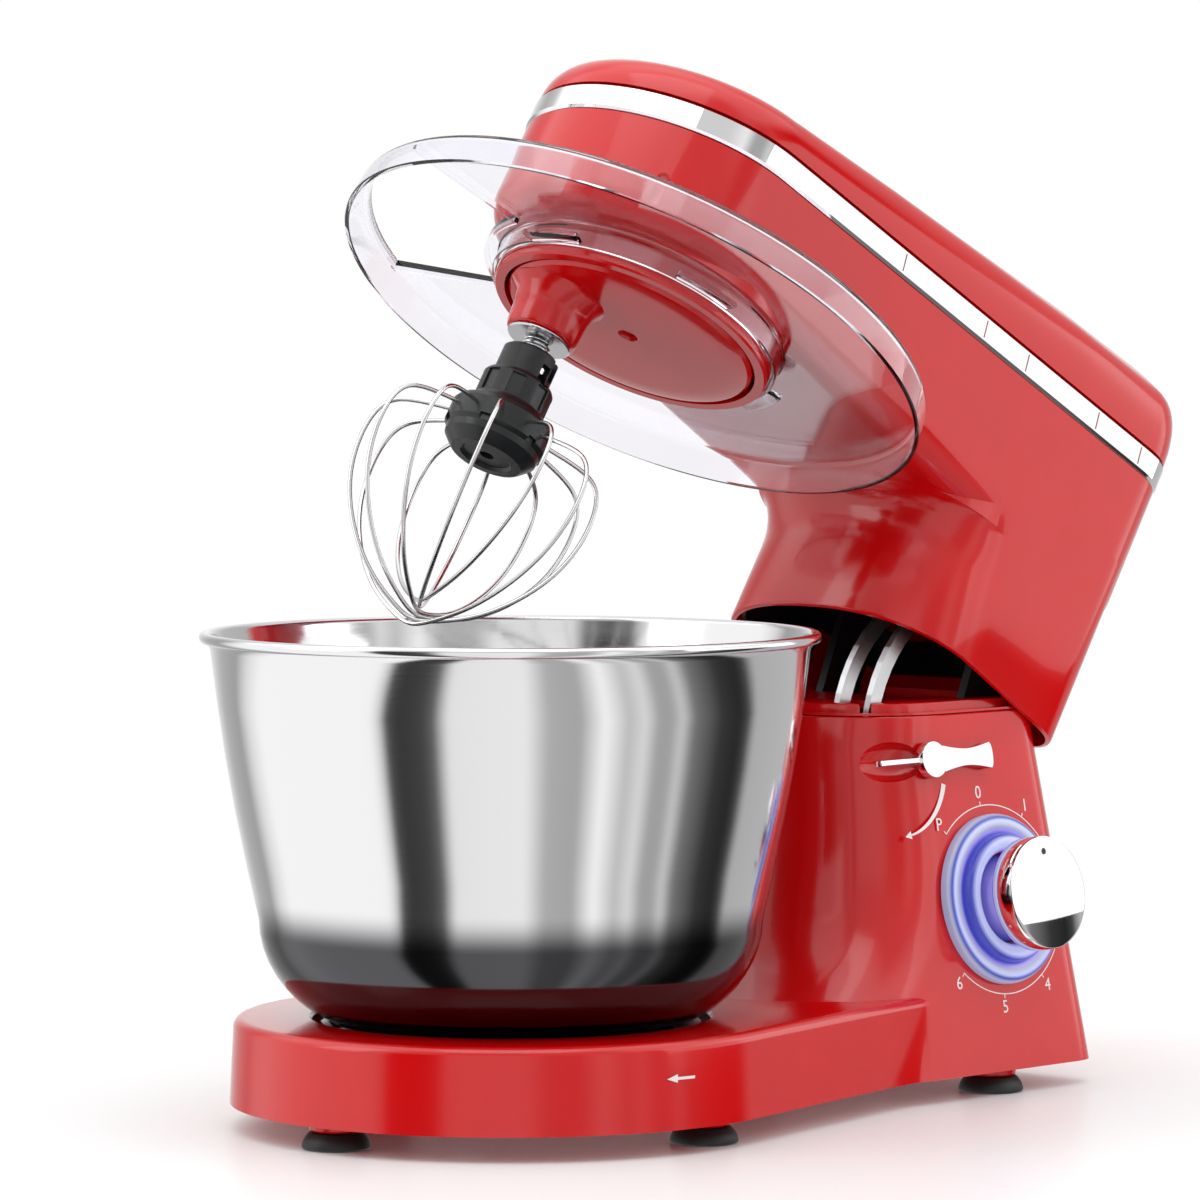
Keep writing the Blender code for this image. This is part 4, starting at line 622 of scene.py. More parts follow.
# ---- collar on top of the column
def makeCollar(s, c):
    low, high = s["columnTop"] - c["skirt"], s["columnTop"] + c["height"]
    ring = columnRing(s, s["columnTop"], c["inset"])
    edge = 0.0009
    soft = columnRing(s, s["columnTop"], c["inset"] + edge * 0.3)
    top = columnRing(s, s["columnTop"], c["inset"] + edge)
    levels = ((ring, low), (ring, high - edge), (soft, high - edge * 0.3), (top, high))
    piece = skinned("columnCollar", [[(x, y, z) for x, y in outline] for outline, z in levels])
    rim = columnRing(s, s["columnTop"], 0.0004)
    welded(piece, slab("collarRim", rim, s["columnTop"] + 0.0003, s["columnTop"] + 0.0013))
    hollow = columnRing(s, s["columnTop"], c["inset"] + 0.0022)
    carved(piece, slab("collarHollow", hollow, 0.1, high - 0.003))
    legs = boxed("legSlot", (-c["legSpan"], hingeY - 0.021, 0.12), (c["legSpan"], hingeY + 0.0225, 0.2))
    armLow, armHigh = levelBox("latch_arm_inner"), levelBox("latch_arm_outer")
    span = (armLow[0].x - 0.0025, armHigh[1].x + 0.0025)
    arms = boxed("armSlot", (span[0], c["armY"] - 0.0055, 0.12), (span[1], c["armY"] + 0.0095, 0.2))
    carved(piece, legs, arms)
    return finished(piece, paint["redGloss"], "base", "red_plastic", "column_cap", place=home)


makeCollar(baseParts, {"height": 0.005, "inset": 0.004, "skirt": 0.006, "legSpan": 0.045, "armY": 0.167})


# ---- base pan with its five posts, and the suction feet under them
footNames = ["foot_front", "foot_right", "foot_left", "foot_rear_right", "foot_rear_left"]
footParts = {"radius": 0.0135, "height": 0.0065, "postRadius": 0.0105, "stem": 0.004}


def footCentre(node):
    low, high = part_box(node)
    return home.inverted() @ ((low + high) / 2)


def makePan(s, f):
    slack = s["wall"] + 0.0009
    low = s["bottom"] + 0.0006
    high = low + 0.0024
    deckEdge = deckOutline(s, s["radius"] - slack, slack)
    piece = slab("basePan", deckEdge, low, high)
    rear = columnRing(s, high, slack)
    welded(piece, slab("panRear", rear, low, high))
    for node in footNames:
        spot = footCentre(node)
        base, edge = f["height"] + 0.0003, 0.0007
        post = turned(node + "Post", [(0, base), (f["postRadius"] - edge, base), (f["postRadius"], base + edge),
                                      (f["postRadius"], (low + high) / 2), (0, (low + high) / 2)], 40)
        hole = turned(node + "Hole", [(0, 0), (f["stem"] + 0.0006, 0), (f["stem"] + 0.0006, 0.02), (0, 0.02)],
                      24)
        for tool in (post, hole):
            settle(tool, Matrix.Translation((spot.x, spot.y, 0)))
        welded(piece, post)
        carved(piece, hole)
    return finished(piece, paint["redGloss"], "base", "red_plastic", "base_plate", place=home)


def makeFoot(node, f):
    # a shallow suction cup: flared lip, waisted body, stem into the post
    lip, r, top = 0.0014, f["radius"], f["height"]
    line = [(0, 0.0016), (r * 0.55, 0.0013), (r - 0.0016, 0), (r - 0.0004, 0.0001), (r, 0.0006), (r, lip)]
    line += [(r - (r - f["postRadius"]) * t, lip + (top - lip) * t ** 0.6) for t in (0.2, 0.45, 0.7, 0.9)]
    line += [(f["postRadius"] - 0.0003, top - 0.0002), (f["postRadius"] - 0.001, top), (f["stem"], top),
             (f["stem"], 0.0128), (f["stem"] - 0.0006, 0.0130), (0, 0.0130)]
    spot = footCentre(node)
    words = node.split("_")
    name = words[0] + "".join(word.title() for word in words[1:])
    return finished(turned(name, line, 56), paint["blackRubber"], "base", "rubber", node,
                    place=home @ Matrix.Translation((spot.x, spot.y, 0)))


makePan(baseParts, footParts)
for footName in footNames:
    makeFoot(footName, footParts)
print("pan and feet done")


# ---- cord inlet
def makeGland():
    flange, hub, bore = 0.0095, 0.0066, 0.0040
    line = [(bore, -0.006), (hub - 0.0004, -0.006), (hub, -0.0056), (hub, 0.0003), (flange, 0.0003),
            (flange, 0.0016), (flange - 0.0006, 0.0022)]
    for i in range(3):
        z = 0.0028 + 0.0018 * i
        line += [(0.0072 - 0.0003 * i, z), (0.0072 - 0.0003 * i, z + 0.0009), (0.0064 - 0.0003 * i, z + 0.0012)]
    line += [(0.0058, 0.0080), (bore + 0.0005, 0.0080), (bore, 0.0076), (bore, -0.006)]
    return finished(turned("cordInlet", line, 48), paint["blackSatin"], "base", "black_plastic", "cord_gland",
                    place=glandAxis)


makeGland()
print("cord inlet done")


# ---- head lower casing, drawn closed and level
headParts = {"halfWidth": 0.063, "noseY": -0.012, "rear": 0.270, "rearRadius": 0.026, "floor": 0.2165,
             "floorEdge": 0.014, "lineHeight": 0.2655, "lineSlope": 0.077, "wall": 0.0022, "trim": 0.0122,
             "neckFront": 0.146, "neckRear": 0.2645, "neckDepth": 0.048, "neckCorner": 0.018,
             "neckBottom": 0.1597, "fillet": 0.021, "squareness": 2.3, "collar": 0.0595, "collarBore": 0.0548,
             "collarBottom": 0.2005}


def headOutline(s, inset=0.0, steps=30):
    half = s["halfWidth"] - inset
    return dOutline(half, s["noseY"] - half, s["rear"] - inset, half,
                    max(s["rearRadius"] - inset, half / 3), 2.0, steps)


def onPartLine(s, outline, lift):
    return [(x, y, s["lineHeight"] + s["lineSlope"] * y + lift) for x, y in outline]


def lowerBody(name, s, inset, lift):
    floor, edge = s["floor"] + inset, s["floorEdge"]
    rings = []
    for i in range(10):
        turn = math.pi / 2 * i / 9
        shrink = inset + edge * (1 - math.sin(turn))
        rings.append([(x, y, floor + edge * (1 - math.cos(turn))) for x, y in headOutline(s, shrink)])
    rings.append(onPartLine(s, headOutline(s, inset), lift))
    return skinned(name, rings)


def neckRing(s, inset, forward=0.0):
    return dOutline(s["halfWidth"] - inset, s["neckFront"] - forward + inset, s["neckRear"] - inset,
                    s["neckDepth"] + forward / 2 - inset, s["neckCorner"] - inset, s["squareness"])


def neckBlock(name, s, inset, low, high, soft=0.0):
    # its front sweeps forward into the head's floor
    rings = []
    if soft:
        rings.append([(x, y, low) for x, y in neckRing(s, inset + soft)])
        rings.append([(x, y, low + soft * 0.35) for x, y in neckRing(s, inset + soft * 0.3)])
        low += soft
    start, radius = s["floor"] - s["fillet"], s["fillet"]
    rings += [[(x, y, low) for x, y in neckRing(s, inset)], [(x, y, start) for x, y in neckRing(s, inset)]]
    for i in range(1, 9):
        rise = radius * math.sin(math.pi / 2 * i / 8)
        forward = radius * (1 - math.sqrt(max(0.0, 1 - (rise / radius) ** 2))) * 0.9
        rings.append([(x, y, start + rise) for x, y in neckRing(s, inset, forward)])
    rings.append([(x, y, high) for x, y in neckRing(s, inset, radius * 0.9)])
    return skinned(name, rings)


def makeHeadLower(s):
    top = s["floor"] + 0.028
    piece = lowerBody("headLower", s, 0, -0.0003)
    low, high = s["collarBottom"], s["floor"] + 0.009
    collar = turned("headCollar", [(0, low), (s["collar"] - 0.0008, low), (s["collar"], low + 0.0008),
                                   (s["collar"], s["floor"] - 0.0025), (s["collar"] + 0.0008,
                                                                        s["floor"] - 0.0008),
                                   (s["collar"] + 0.0025, s["floor"] + 0.0003), (s["collar"], high), (0,
                                                                                                      high)], 96)
    welded(piece, neckBlock("neckOutside", s, 0, s["neckBottom"], top, 0.0012), collar)
    carved(piece, lowerBody("bodyInside", s, s["wall"], 0.004),
           neckBlock("neckInside", s, s["wall"], s["neckBottom"] - 0.002, top),
           turned("collarInside", [(0, low - 0.002), (s["collarBore"], low - 0.002),
                                   (s["collarBore"], high + 0.001),
                                   (0, high + 0.001)], 96))
    return piece


def sidePinHole(piece, p):
    # a screw hole sunk in the nose's side with a groove that runs down from it
    out = Vector((math.sin(p["turn"]), -math.cos(p["turn"]), 0))
    spot = Vector((0, headParts["noseY"], p["height"])) + out * headParts["halfWidth"]
    up = Vector((0, 0, 1))
    place = Matrix((up.cross(out), up, out)).transposed().to_4x4()
    place.translation = spot
    hole = turned("pinHole", [(0, -0.0012), (p["radius"] * 0.55, -0.0012), (p["radius"], 0.0006),
                              (p["radius"], 0.004),
                              (0, 0.004)], 32)
    settle(hole, place)
    deselect()
    bpy.ops.mesh.primitive_uv_sphere_add(segments=32, ring_count=16, radius=1)
    groove = bpy.context.object
    groove.scale = (p["radius"] * 0.72, p["length"], 0.0016)
    groove.location = (0, -p["length"] * 0.8, 0.0003)
    settle(groove, place)
    carved(piece, hole, groove)


headLower = makeHeadLower(headParts)
for turn in (math.radians(46), math.radians(-46)):
    sidePinHole(headLower, {"turn": turn, "height": 0.2370, "radius": 0.0036, "length": 0.0065})
finished(headLower, paint["redGloss"], "head", "red_plastic", "head_bottom_shell", place=levelHead, angle=28)
print("head lower casing done")


# ---- chrome band round the head with small slanted ticks
def makeTrim(s, proud):
    gap = 0.0003
    low, high, soft = gap, s["trim"] - gap, 0.0012
    section = [(-proud + soft, low), (-proud, low + soft), (-proud, high - soft), (-proud + soft, high),
               (s["wall"], high), (s["wall"], low)]
    rings = [onPartLine(s, headOutline(s, inset, 36), lift) for inset, lift in section]
    piece = skinned("trimBand", rings + [rings[0]], capped=False)
    return finished(piece, paint["mirrorChrome"], "head", "chrome_trim", "trim_band", place=levelHead, angle=40)


def makeTicks(s, t):
    for number, along in enumerate(t["places"]):
        low = s["lineHeight"] + s["lineSlope"] * along + 0.0025
        out = s["halfWidth"] + t["proud"]
        lean = t["lean"]
        for side in (1, -1):
            points = [(side * out, along, low), (side * out, along + lean, low + t["height"])]
            tick = wired("trimTick{}{}".format("Right" if side > 0 else "Left", number + 1), points,
                         t["radius"],
                         smooth=False, resolution=1)
            finished(tick, paint["markRed"], "head", "red_plastic", place=levelHead)


makeTrim(headParts, 0.0006)
makeTicks(headParts, {"places": (0.0665, 0.124, 0.154, 0.206, 0.238), "proud": 0.0006, "lean": -0.0015,
                      "height": 0.0072, "radius": 0.00025})


# ---- dome: a full cushion, lower at the nose than at the rear
domeParts = {"front": 0.024, "rear": 0.045, "lip": 0.002, "fullTurn": 74, "spineStart": 0.004,
             "spineEnd": 0.206}


def domeHeight(s, d, y):
    share = min(1.0, max(0.0, (y - s["noseY"]) / (s["rear"] - s["noseY"]) * 1.3))
    return d["front"] + (d["rear"] - d["front"]) * share ** 0.8


def domeBlock(name, s, d, inset, drop):
    outer = headOutline(s, inset, 30)
    rings = [onPartLine(s, outer, s["trim"] + 0.0003 - drop)]
    spine = [(0.0, min(max(y, d["spineStart"]), d["spineEnd"])) for _, y in outer]
    levels = [(1 - 0.16 * (1 - math.cos(t)), 0.62 * math.sin(t))
              for t in [math.radians(d["fullTurn"]) * i / 8 for i in range(9)]]
    edgeWidth, edgeHeight = levels[-1]
    for i in range(1, 15):
        w = edgeWidth * (1 - i / 14)
        levels.append((w, edgeHeight + (1 - edgeHeight) * (1 - (w / edgeWidth) ** 2.2)))
    for w, g in levels:
        ring = []
        for (x, y), (sx, sy) in zip(outer, spine):
            px, py = sx + (x - sx) * w, sy + (y - sy) * w
            height = (domeHeight(s, d, py) - inset) * g
            ring.append((px, py, s["lineHeight"] + s["lineSlope"] * py + s["trim"] + d["lip"] + height))
        rings.append(ring)
    return skinned(name, rings)


def makeDome(s, d):
    piece = domeBlock("headDome", s, d, 0, 0)
    carved(piece, domeBlock("domeInside", s, d, s["wall"], 0.003))
    return finished(piece, paint["redGloss"], "head", "red_plastic", "head_top_shell", place=levelHead,
                    angle=40)


makeDome(headParts, domeParts)
print("trim and dome done")


# ---- black liner inside the neck
def makeLiner(s, n):
    start = s["wall"] + n["gap"]
    low = s["neckBottom"] + 0.006
    piece = slab("neckLining", neckRing(s, start), low, n["top"])
    tools = [slab("liningHollow", neckRing(s, start + n["wall"]), low - 0.001, n["top"] - n["wall"]),
             boxed("liningLegs", (-n["span"], hingeY - 0.046, n["top"] - 0.01),
                   (n["span"], hingeY + 0.026, n["top"] + 0.01)),
             boxed("liningBehind", (-0.08, hingeY - 0.008, low - 0.01), (0.08, s["neckRear"] + 0.01, 0.190))]
    carved(piece, *tools)
    for x in (-0.014, 0.0, 0.014):
        welded(piece, boxed("liningRib", (x - 0.001, 0.153, n["top"] - 0.014),
                            (x + 0.001, hingeY - 0.045, n["top"] - 0.001)))
    return finished(piece, paint["blackSatin"], "head", "black_plastic", "neck_liner", place=levelHead)


makeLiner(headParts, {"gap": 0.0007, "wall": 0.0018, "top": 0.204, "span": 0.046})


# ---- clear splash guard
guardParts = {"radius": 0.1255, "low": 0.2005, "skirt": 0.0145, "wall": 0.002, "inner": 0.060,
              "open": (196, 256), "openOut": 0.1195, "openIn": 0.068}


def arcSlab(name, inner, outer, start, end, low, high, steps=20):
    outline = arcPoints(outer, start, end, steps) + arcPoints(inner, end, start, steps)
    return slab(name, outline, low, high)


def makeGuard(g):
    low, high, wall, r = g["low"], g["low"] + g["skirt"], g["wall"], g["radius"]
    lip = g["inner"]
    line = [(r - 0.0004, low), (r, low + 0.0006), (r - 0.0009, high - 0.0042)]
    line += arcPoints(0.0040, 0.05, math.pi / 2, 7, (r - 0.0050, high - 0.0040))
    line += [(lip + 0.0005, high), (lip, high - 0.0006), (lip, low + 0.0040), (lip + 0.0004, low + 0.0036),
             (lip + wall - 0.0003, low + 0.0036), (lip + wall, low + 0.0042), (lip + wall, high - wall - 0.001),
             (lip + wall + 0.001, high - wall)]
    line += arcPoints(0.0024, math.pi / 2, 0.05, 6, (r - 0.0054, high - 0.0044))
    line += [(r - wall, low + 0.0005), (r - wall + 0.0004, low), (r - 0.0004, low)]
    piece = turned("splashGuard", line, 160)
    start, end = [math.radians(a) for a in g["open"]]
    rim, half = 0.0016, 0.0016 / 0.09
    frame = arcSlab("openFrame", g["openIn"] - rim, g["openOut"] + rim * 0.6, start - half, end + half,
                    high - 0.0042, high - 0.0005)
    opening = arcSlab("openCut", g["openIn"], g["openOut"], start, end, low - 0.001, high + 0.003)
    welded(piece, frame)
    carved(piece, opening)
    return piece


def guardTabs(piece, g):
    # four clip tabs hold the guard on the head's collar
    for turn in (-22, 68, 118, -84):
        middle = math.radians(turn)
        spread = 0.0125 / g["inner"]
        lower = arcSlab("tabLower", g["inner"] + 0.0002, g["inner"] + 0.0082, middle - spread, middle + spread,
                        g["low"] + 0.0040, g["low"] + 0.0062, 10)
        rounded(lower, 0.0009, 3)
        welded(piece, lower)
    return piece


guard = guardTabs(makeGuard(guardParts), guardParts)
finished(guard, paint["clearGuard"], "guard", "clear_plastic", "splash_guard", place=levelHead, angle=25)
print("guard done")


# ---- planetary disc with its eccentric socket
discParts = {"radius": 0.0535, "low": 0.1990, "thickness": 0.004, "socket": 0.020, "socketRadius": 0.0155,
             "bore": 0.0070}


def makeDisc(d):
    low, high, r = d["low"], d["low"] + d["thickness"], d["radius"]
    line = [(0, low), (r - 0.0110, low), (r - 0.0050, low + 0.0002), (r - 0.0018, low + 0.0008),
            (r - 0.0004, low + 0.0022), (r, low + 0.0040), (r, high + 0.003), (r - 0.003, high + 0.003),
            (r - 0.003, high), (0, high)]
    piece = turned("planetaryDisc", line, 128)
    spot = (beaterPoint.x, beaterPoint.y, 0)
    bottom, q = low - d["socket"], d["socketRadius"]
    socket = turned("socketBoss", [(0, bottom), (q - 0.0028, bottom), (q - 0.0010, bottom + 0.0009),
                                   (q - 0.0004, bottom + 0.0026),
                                   (q + 0.0002, low - 0.009), (q + 0.0012, low - 0.004), (q + 0.0034,
                                                                                          low - 0.0010),
                                   (q + 0.0050, low + 0.0006), (q, high + 0.0045), (0, high + 0.0045)], 64)
    bore = turned("socketBore", [(0, bottom - 0.001), (d["bore"] + 0.0008, bottom - 0.001),
                                 (d["bore"], bottom + 0.0006),
                                 (d["bore"], high + 0.006), (0, high + 0.006)], 48)
    for tool in (socket, bore):
        settle(tool, Matrix.Translation(spot))
    welded(piece, socket)
    dimple = turned("discDimple", [(0, low - 0.001), (0.0048, low - 0.001), (0.0040, low + 0.0006),
                                   (0.0036, low + 0.0026),
                                   (0, low + 0.0026)], 40)
    carved(piece, bore, dimple)
    return finished(piece, paint["redGloss"], "planetary", "red_plastic", "planetary_disc", place=levelHead)


makeDisc(discParts)


# ---- beater shaft, washer, spring and cross pin
shaftParts = {"radius": 0.0042, "pinHeight": 0.1635, "pinRadius": 0.0018, "pinHalf": 0.0098, "top": 0.2210,
              "washerHigh": 0.1787, "hubTop": 0.1710}


def makeShaft(s):
    r, low = s["radius"], s["pinHeight"] - 0.004
    line = [(0, low), (r - 0.0007, low), (r, low + 0.0007), (r, s["washerHigh"] - 0.0040),
            (r, s["top"] - 0.0006),
            (r - 0.0006, s["top"]), (0, s["top"])]
    shaft = turned("beaterShaft", line, 40)
    bore = settle(turned("shaftPinBore", [(0, -0.006), (s["pinRadius"] + 0.0003, -0.006),
                                          (s["pinRadius"] + 0.0003, 0.006),
                                          (0, 0.006)], 24),
                  Matrix.Translation((0, 0, s["pinHeight"])) @ Matrix.Rotation(math.pi / 2, 4, "Y"))
    carved(shaft, bore)
    finished(shaft, paint["turnedSteel"], "beater", "machined_steel", "beater_shaft", place=beaterAxis)
    half, p = s["pinHalf"], s["pinRadius"]
    pin = turned("crossPin", [(0, -half), (p - 0.0005, -half), (p, -half + 0.0005), (p, half - 0.0005),
                              (p - 0.0005, half),
                              (0, half)], 32)
    finished(pin, paint["turnedSteel"], "beater", "machined_steel", "cross_pin",
             place=beaterAxis @ Matrix.Translation((0, 0, s["pinHeight"])) @ Matrix.Rotation(math.pi / 2, 4,
                                                                                             "Y"))
    w = s["washerHigh"]
    washer = turned("shaftWasher", [(r + 0.0003, w - 0.0012), (0.0131, w - 0.0012), (0.0135, w - 0.0008),
                                    (0.0135, w - 0.0004),
                                    (0.0131, w), (r + 0.0003, w), (r + 0.0003, w - 0.0012)], 56)
    finished(washer, paint["turnedSteel"], "beater", "machined_steel", "shaft_washer", place=beaterAxis)
    low, high, turns, per = s["hubTop"] + 0.0009, w - 0.0021, 3, 24
    points = [((r + 0.0013) * math.cos(2 * math.pi * i / per), (r + 0.0013) * math.sin(2 * math.pi * i / per),
               low + (high - low) * i / (turns * per)) for i in range(turns * per + 1)]
    spring = wired("shaftSpring", points, 0.0006, smooth=False, resolution=3)
    finished(spring, paint["turnedSteel"], "beater", "machined_steel", "shaft_spring", place=beaterAxis)


makeShaft(shaftParts)


# ---- whisk hub and its wire loops
hubParts = {"top": 0.1710, "radius": 0.0118, "collar": 0.0150, "flange": 0.0215, "flangeTop": 0.1430,
            "bottom": 0.1225, "bore": 0.0047, "pinHeight": 0.1635, "push": 0.005}


def makeHub(h):
    low, top, r, c, f, ft = h["bottom"], h["top"], h["radius"], h["collar"], h["flange"], h["flangeTop"]
    line = [(0, low + 0.0012), (0.0098, low + 0.0012), (0.0112, low), (0.0150, low), (0.0165, low + 0.0012),
            (0.0196, ft - 0.0160), (0.0200, ft - 0.0132), (f - 0.0010, ft - 0.0128), (f, ft - 0.0116), (f,
                                                                                                        ft - 0.0030),
            (f - 0.0010, ft - 0.0012), (f - 0.0040, ft), (c + 0.0022, ft), (c + 0.0010, ft + 0.0012), (c,
                                                                                                       ft + 0.0030),
            (c, top - 0.0145), (c - 0.0008, top - 0.0132), (r + 0.0004, top - 0.0126), (r, top - 0.0118),
            (r, top - 0.0010), (r - 0.0010, top), (0, top)]
    piece = turned("whiskHub", line, 96)
    flats = []
    for i in range(8):
        flat = boxed("hubFlat", (c - 0.0011, -0.0030, ft + 0.0034), (c + 0.003, 0.0030, top - 0.0150))
        flats.append(settle(flat, Matrix.Rotation(math.pi / 4 * i, 4, "Z")))
    for i in range(6):
        notch = boxed("flangeNotch", (f - 0.0014, -0.0022, ft - 0.0135), (f + 0.003, 0.0022, ft - 0.0105))
        flats.append(settle(notch, Matrix.Rotation(math.pi / 3 * i, 4, "Z")))
    pin = 0.0023
    keySlot = boxed("keySlot", (-0.02, -pin, h["pinHeight"] - pin - h["push"]),
                    (0.02, pin, h["pinHeight"] + pin))
    entry = settle(boxed("keyEntry", (-0.02, -pin, h["pinHeight"] - pin), (0.02, pin, top + 0.002)),
                   Matrix.Rotation(math.radians(28), 4, "Z"))
    bore = turned("hubBore", [(0, h["pinHeight"] - 0.012), (h["bore"], h["pinHeight"] - 0.012),
                              (h["bore"], top - 0.0008),
                              (h["bore"] + 0.0010, top + 0.0004), (0, top + 0.001)], 40)
    vent = turned("hubVent", [(0, low - 0.001), (0.0030, low - 0.001), (0.0030, low + 0.006),
                              (0, low + 0.006)], 32)
    carved(piece, *flats, keySlot, entry, bore, vent)
    return finished(piece, paint["blackSatin"], "whisk", "black_plastic", "whisk_hub", place=beaterAxis,
                    angle=25)


def makeWires(h, w):
    startRadius, startHeight = h["flange"] - 0.0015, h["flangeTop"] - 0.0065
    for loop in range(w["loops"]):
        angle = math.pi * (loop + 0.5) / w["loops"]
        tip = w["tip"] + w["stack"] * loop
        side = [(startRadius + (w["radius"] - startRadius) * reach, startHeight + (tip - startHeight) * drop)
                for drop, reach in w["flank"]]
        path = side + [(0, tip)] + [(-radius, height) for radius, height in side[::-1]]
        points = [(r * math.cos(angle), r * math.sin(angle), z) for r, z in path]
        wire = wired("whiskWire{}".format(loop + 1), points, w["wire"], smooth=True, resolution=3)
        finished(wire, paint["whiskWire"], "whisk", "wire_steel", "whisk_wire_{}".format(loop + 1),
                 place=beaterAxis,
                 angle=60)


makeHub(hubParts)
makeWires(hubParts, {"loops": 6, "radius": 0.0495, "tip": 0.0445, "stack": 0.0022, "wire": 0.0009,
                     "flank": [(0, 0), (0.015, 0.30), (0.035, 0.62), (0.080, 0.86), (0.17, 0.975), (0.30, 1.0),
                               (0.46, 0.93), (0.62, 0.72), (0.76, 0.42), (0.88, 0.05), (0.96, -0.38)]})
print("disc, shaft and whisk done")


# ---- speed knob and its lit ring, drawn out of the side wall
knobParts = {"ringRadius": 0.0355, "ringHeight": 0.009, "bore": 0.0195, "shank": 0.0165, "radius": 0.0235,
             "neck": 0.015, "face": 0.0282}


def makeLitRing(k):
    r, h, bore, gap = k["ringRadius"], k["ringHeight"], k["bore"], 0.0003
    line = [(bore, gap), (r, gap), (r, h * 0.30), (r - 0.0006, h * 0.46), (r - 0.0022, h * 0.58),
            (r - 0.0044, h * 0.62),
            (r - 0.0064, h * 0.58), (r - 0.0076, h * 0.50), (r - 0.0084, h * 0.52), (r - 0.0088, h * 0.80),
            (r - 0.0094, h * 0.98), (r - 0.0108, h + 0.0008), (r - 0.0126, h + 0.0010), (bore + 0.0022,
                                                                                         h + 0.0006),
            (bore + 0.0006, h * 0.94), (bore, h * 0.80), (bore, gap)]
    return finished(turned("litRing", line, 128), paint["litRing"], "base", "lit_plastic", "light_ring",
                    place=knobWall, angle=50)


def makeKnob(k):
    low, neck, face, r, shank = k["ringHeight"] - 0.0075, k["neck"], k["face"], k["radius"], k["shank"]
    line = [(0, k["ringHeight"]), (0.006, k["ringHeight"]), (0.006, low), (shank + 0.0011, low),
            (shank + 0.0015, low + 0.0005),
            (shank + 0.0007, low + 0.0060), (shank, neck - 0.0010), (shank + 0.0004, neck + 0.0002),
            (r - 0.0022, neck + 0.0016), (r - 0.0006, neck + 0.0024), (r, neck + 0.0036), (r, face - 0.0013),
            (r - 0.0004, face - 0.0004), (r - 0.0013, face), (0, face)]
    piece = turned("speedKnob", line, 128)
    dot = turned("dotCut", [(0, face - 0.0005), (0.0014, face - 0.0005), (0.0014, face + 0.001),
                            (0, face + 0.001)], 32)
    spot = Matrix.Translation((-r * 0.72, 0, 0))
    carved(piece, settle(dot, spot))
    finished(piece, paint["mirrorChrome"], "knob", "chrome_trim", "speed_knob", place=knobWall, angle=40)
    fill = turned("knobDot", [(0, face - 0.0004), (0.0013, face - 0.0004), (0.0013, face - 0.0001),
                              (0, face - 0.0001)], 32)
    finished(fill, paint["blackSatin"], "knob", "black_plastic", place=knobWall @ spot)


makeLitRing(knobParts)
makeKnob(knobParts)


# ---- release lever: bow-tie grip to the rear, finger blade to the front
def makeLever(v):
    low, high = v["lift"], v["lift"] + v["thickness"]
    half = []
    for i in range(21):
        t = i / 20
        width = v["waist"] + (v["end"] - 0.002 - v["waist"]) * abs(2 * t - 1) ** 1.6
        half.append((v["end"] * 0.75 + t * (v["length"] - v["end"] * 0.75), width))
    tip = [(v["length"] + 0.0016 * math.cos(a), half[-1][1] * math.sin(a) * 0.96)
           for a in [math.pi / 2 - math.pi * i / 10 for i in range(1, 10)]]
    front = arcPoints(v["end"], math.radians(40), math.radians(320), 36)
    outline = half[::-1] + front + [(x, -w) for x, w in half] + tip[::-1]
    grip = slab("leverGrip", [(-across, along) for along, across in outline], low, high)
    blade = boxed("leverBlade", (-0.0012, -v["blade"], low), (0.0012, 0, high - 0.001))
    rounded(blade, 0.0004, 2)
    rounded(grip, 0.0010, 4, 50)
    welded(grip, blade)
    return finished(grip, paint["mirrorChrome"], "lever", "chrome_trim", "lever_handle", place=leverWall)


makeLever({"length": 0.035, "end": 0.0075, "waist": 0.0035, "thickness": 0.004, "blade": 0.032, "lift": 0.0006})


# ---- printed marks on the side wall
def printedText(name, words, size, spot):
    deselect()
    bpy.ops.object.text_add()
    piece = bpy.context.object
    piece.name = name
    piece.data.body = words
    piece.data.size = size
    piece.data.align_x = "CENTER"
    piece.data.align_y = "CENTER"
    piece.data.extrude = 0.00004
    pick(piece)
    bpy.ops.object.convert(target="MESH")
    piece = bpy.context.object
    upright = Matrix.Translation((*spot, 0.00012)) @ Matrix.Rotation(math.pi / 2, 4, "Z")
    return finished(piece, paint["markWhite"], "base", "chrome_trim", place=knobWall @ upright)


def strokeMark(name, points, width, place, taper=None):
    # a flat printed line along the points, with its own width at each
    widths = taper or [width] * len(points)
    left, right = [], []
    for i, (x, y) in enumerate(points):
        before, after = points[max(0, i - 1)], points[min(len(points) - 1, i + 1)]
        along = Vector((after[0] - before[0], after[1] - before[1])).normalized()
        left.append((x - along.y * widths[i] / 2, y + along.x * widths[i] / 2))
        right.append((x + along.y * widths[i] / 2, y - along.x * widths[i] / 2))
    piece = slab(name, left + right[::-1], 0.00006, 0.00014)
    return finished(piece, paint["markWhite"], "base", "chrome_trim", place=place)


def dialMarks(m):
    # the scale runs from the pulse mark through nought and on clockwise to six
    angles = [m["first"] + m["step"] * i for i in range(8)]
    spots = [(-math.cos(a), math.sin(a)) for a in angles]
    arc = [(-m["arc"] * math.cos(a), m["arc"] * math.sin(a))
           for a in [angles[0] + (angles[-1] - angles[0]) * i / 96 for i in range(97)]]
    strokeMark("dialArc", arc, m["line"], knobWall)
    for word, (x, y) in zip("P0123456", spots):
        tickEnd = m["arc"] + m["tick"]
        strokeMark("dialTick" + word, [(x * m["arc"], y * m["arc"]), (x * tickEnd, y * tickEnd)],
                   m["line"], knobWall)
        printedText("dialMark" + word, word, m["size"], (x * m["text"], y * m["text"]))


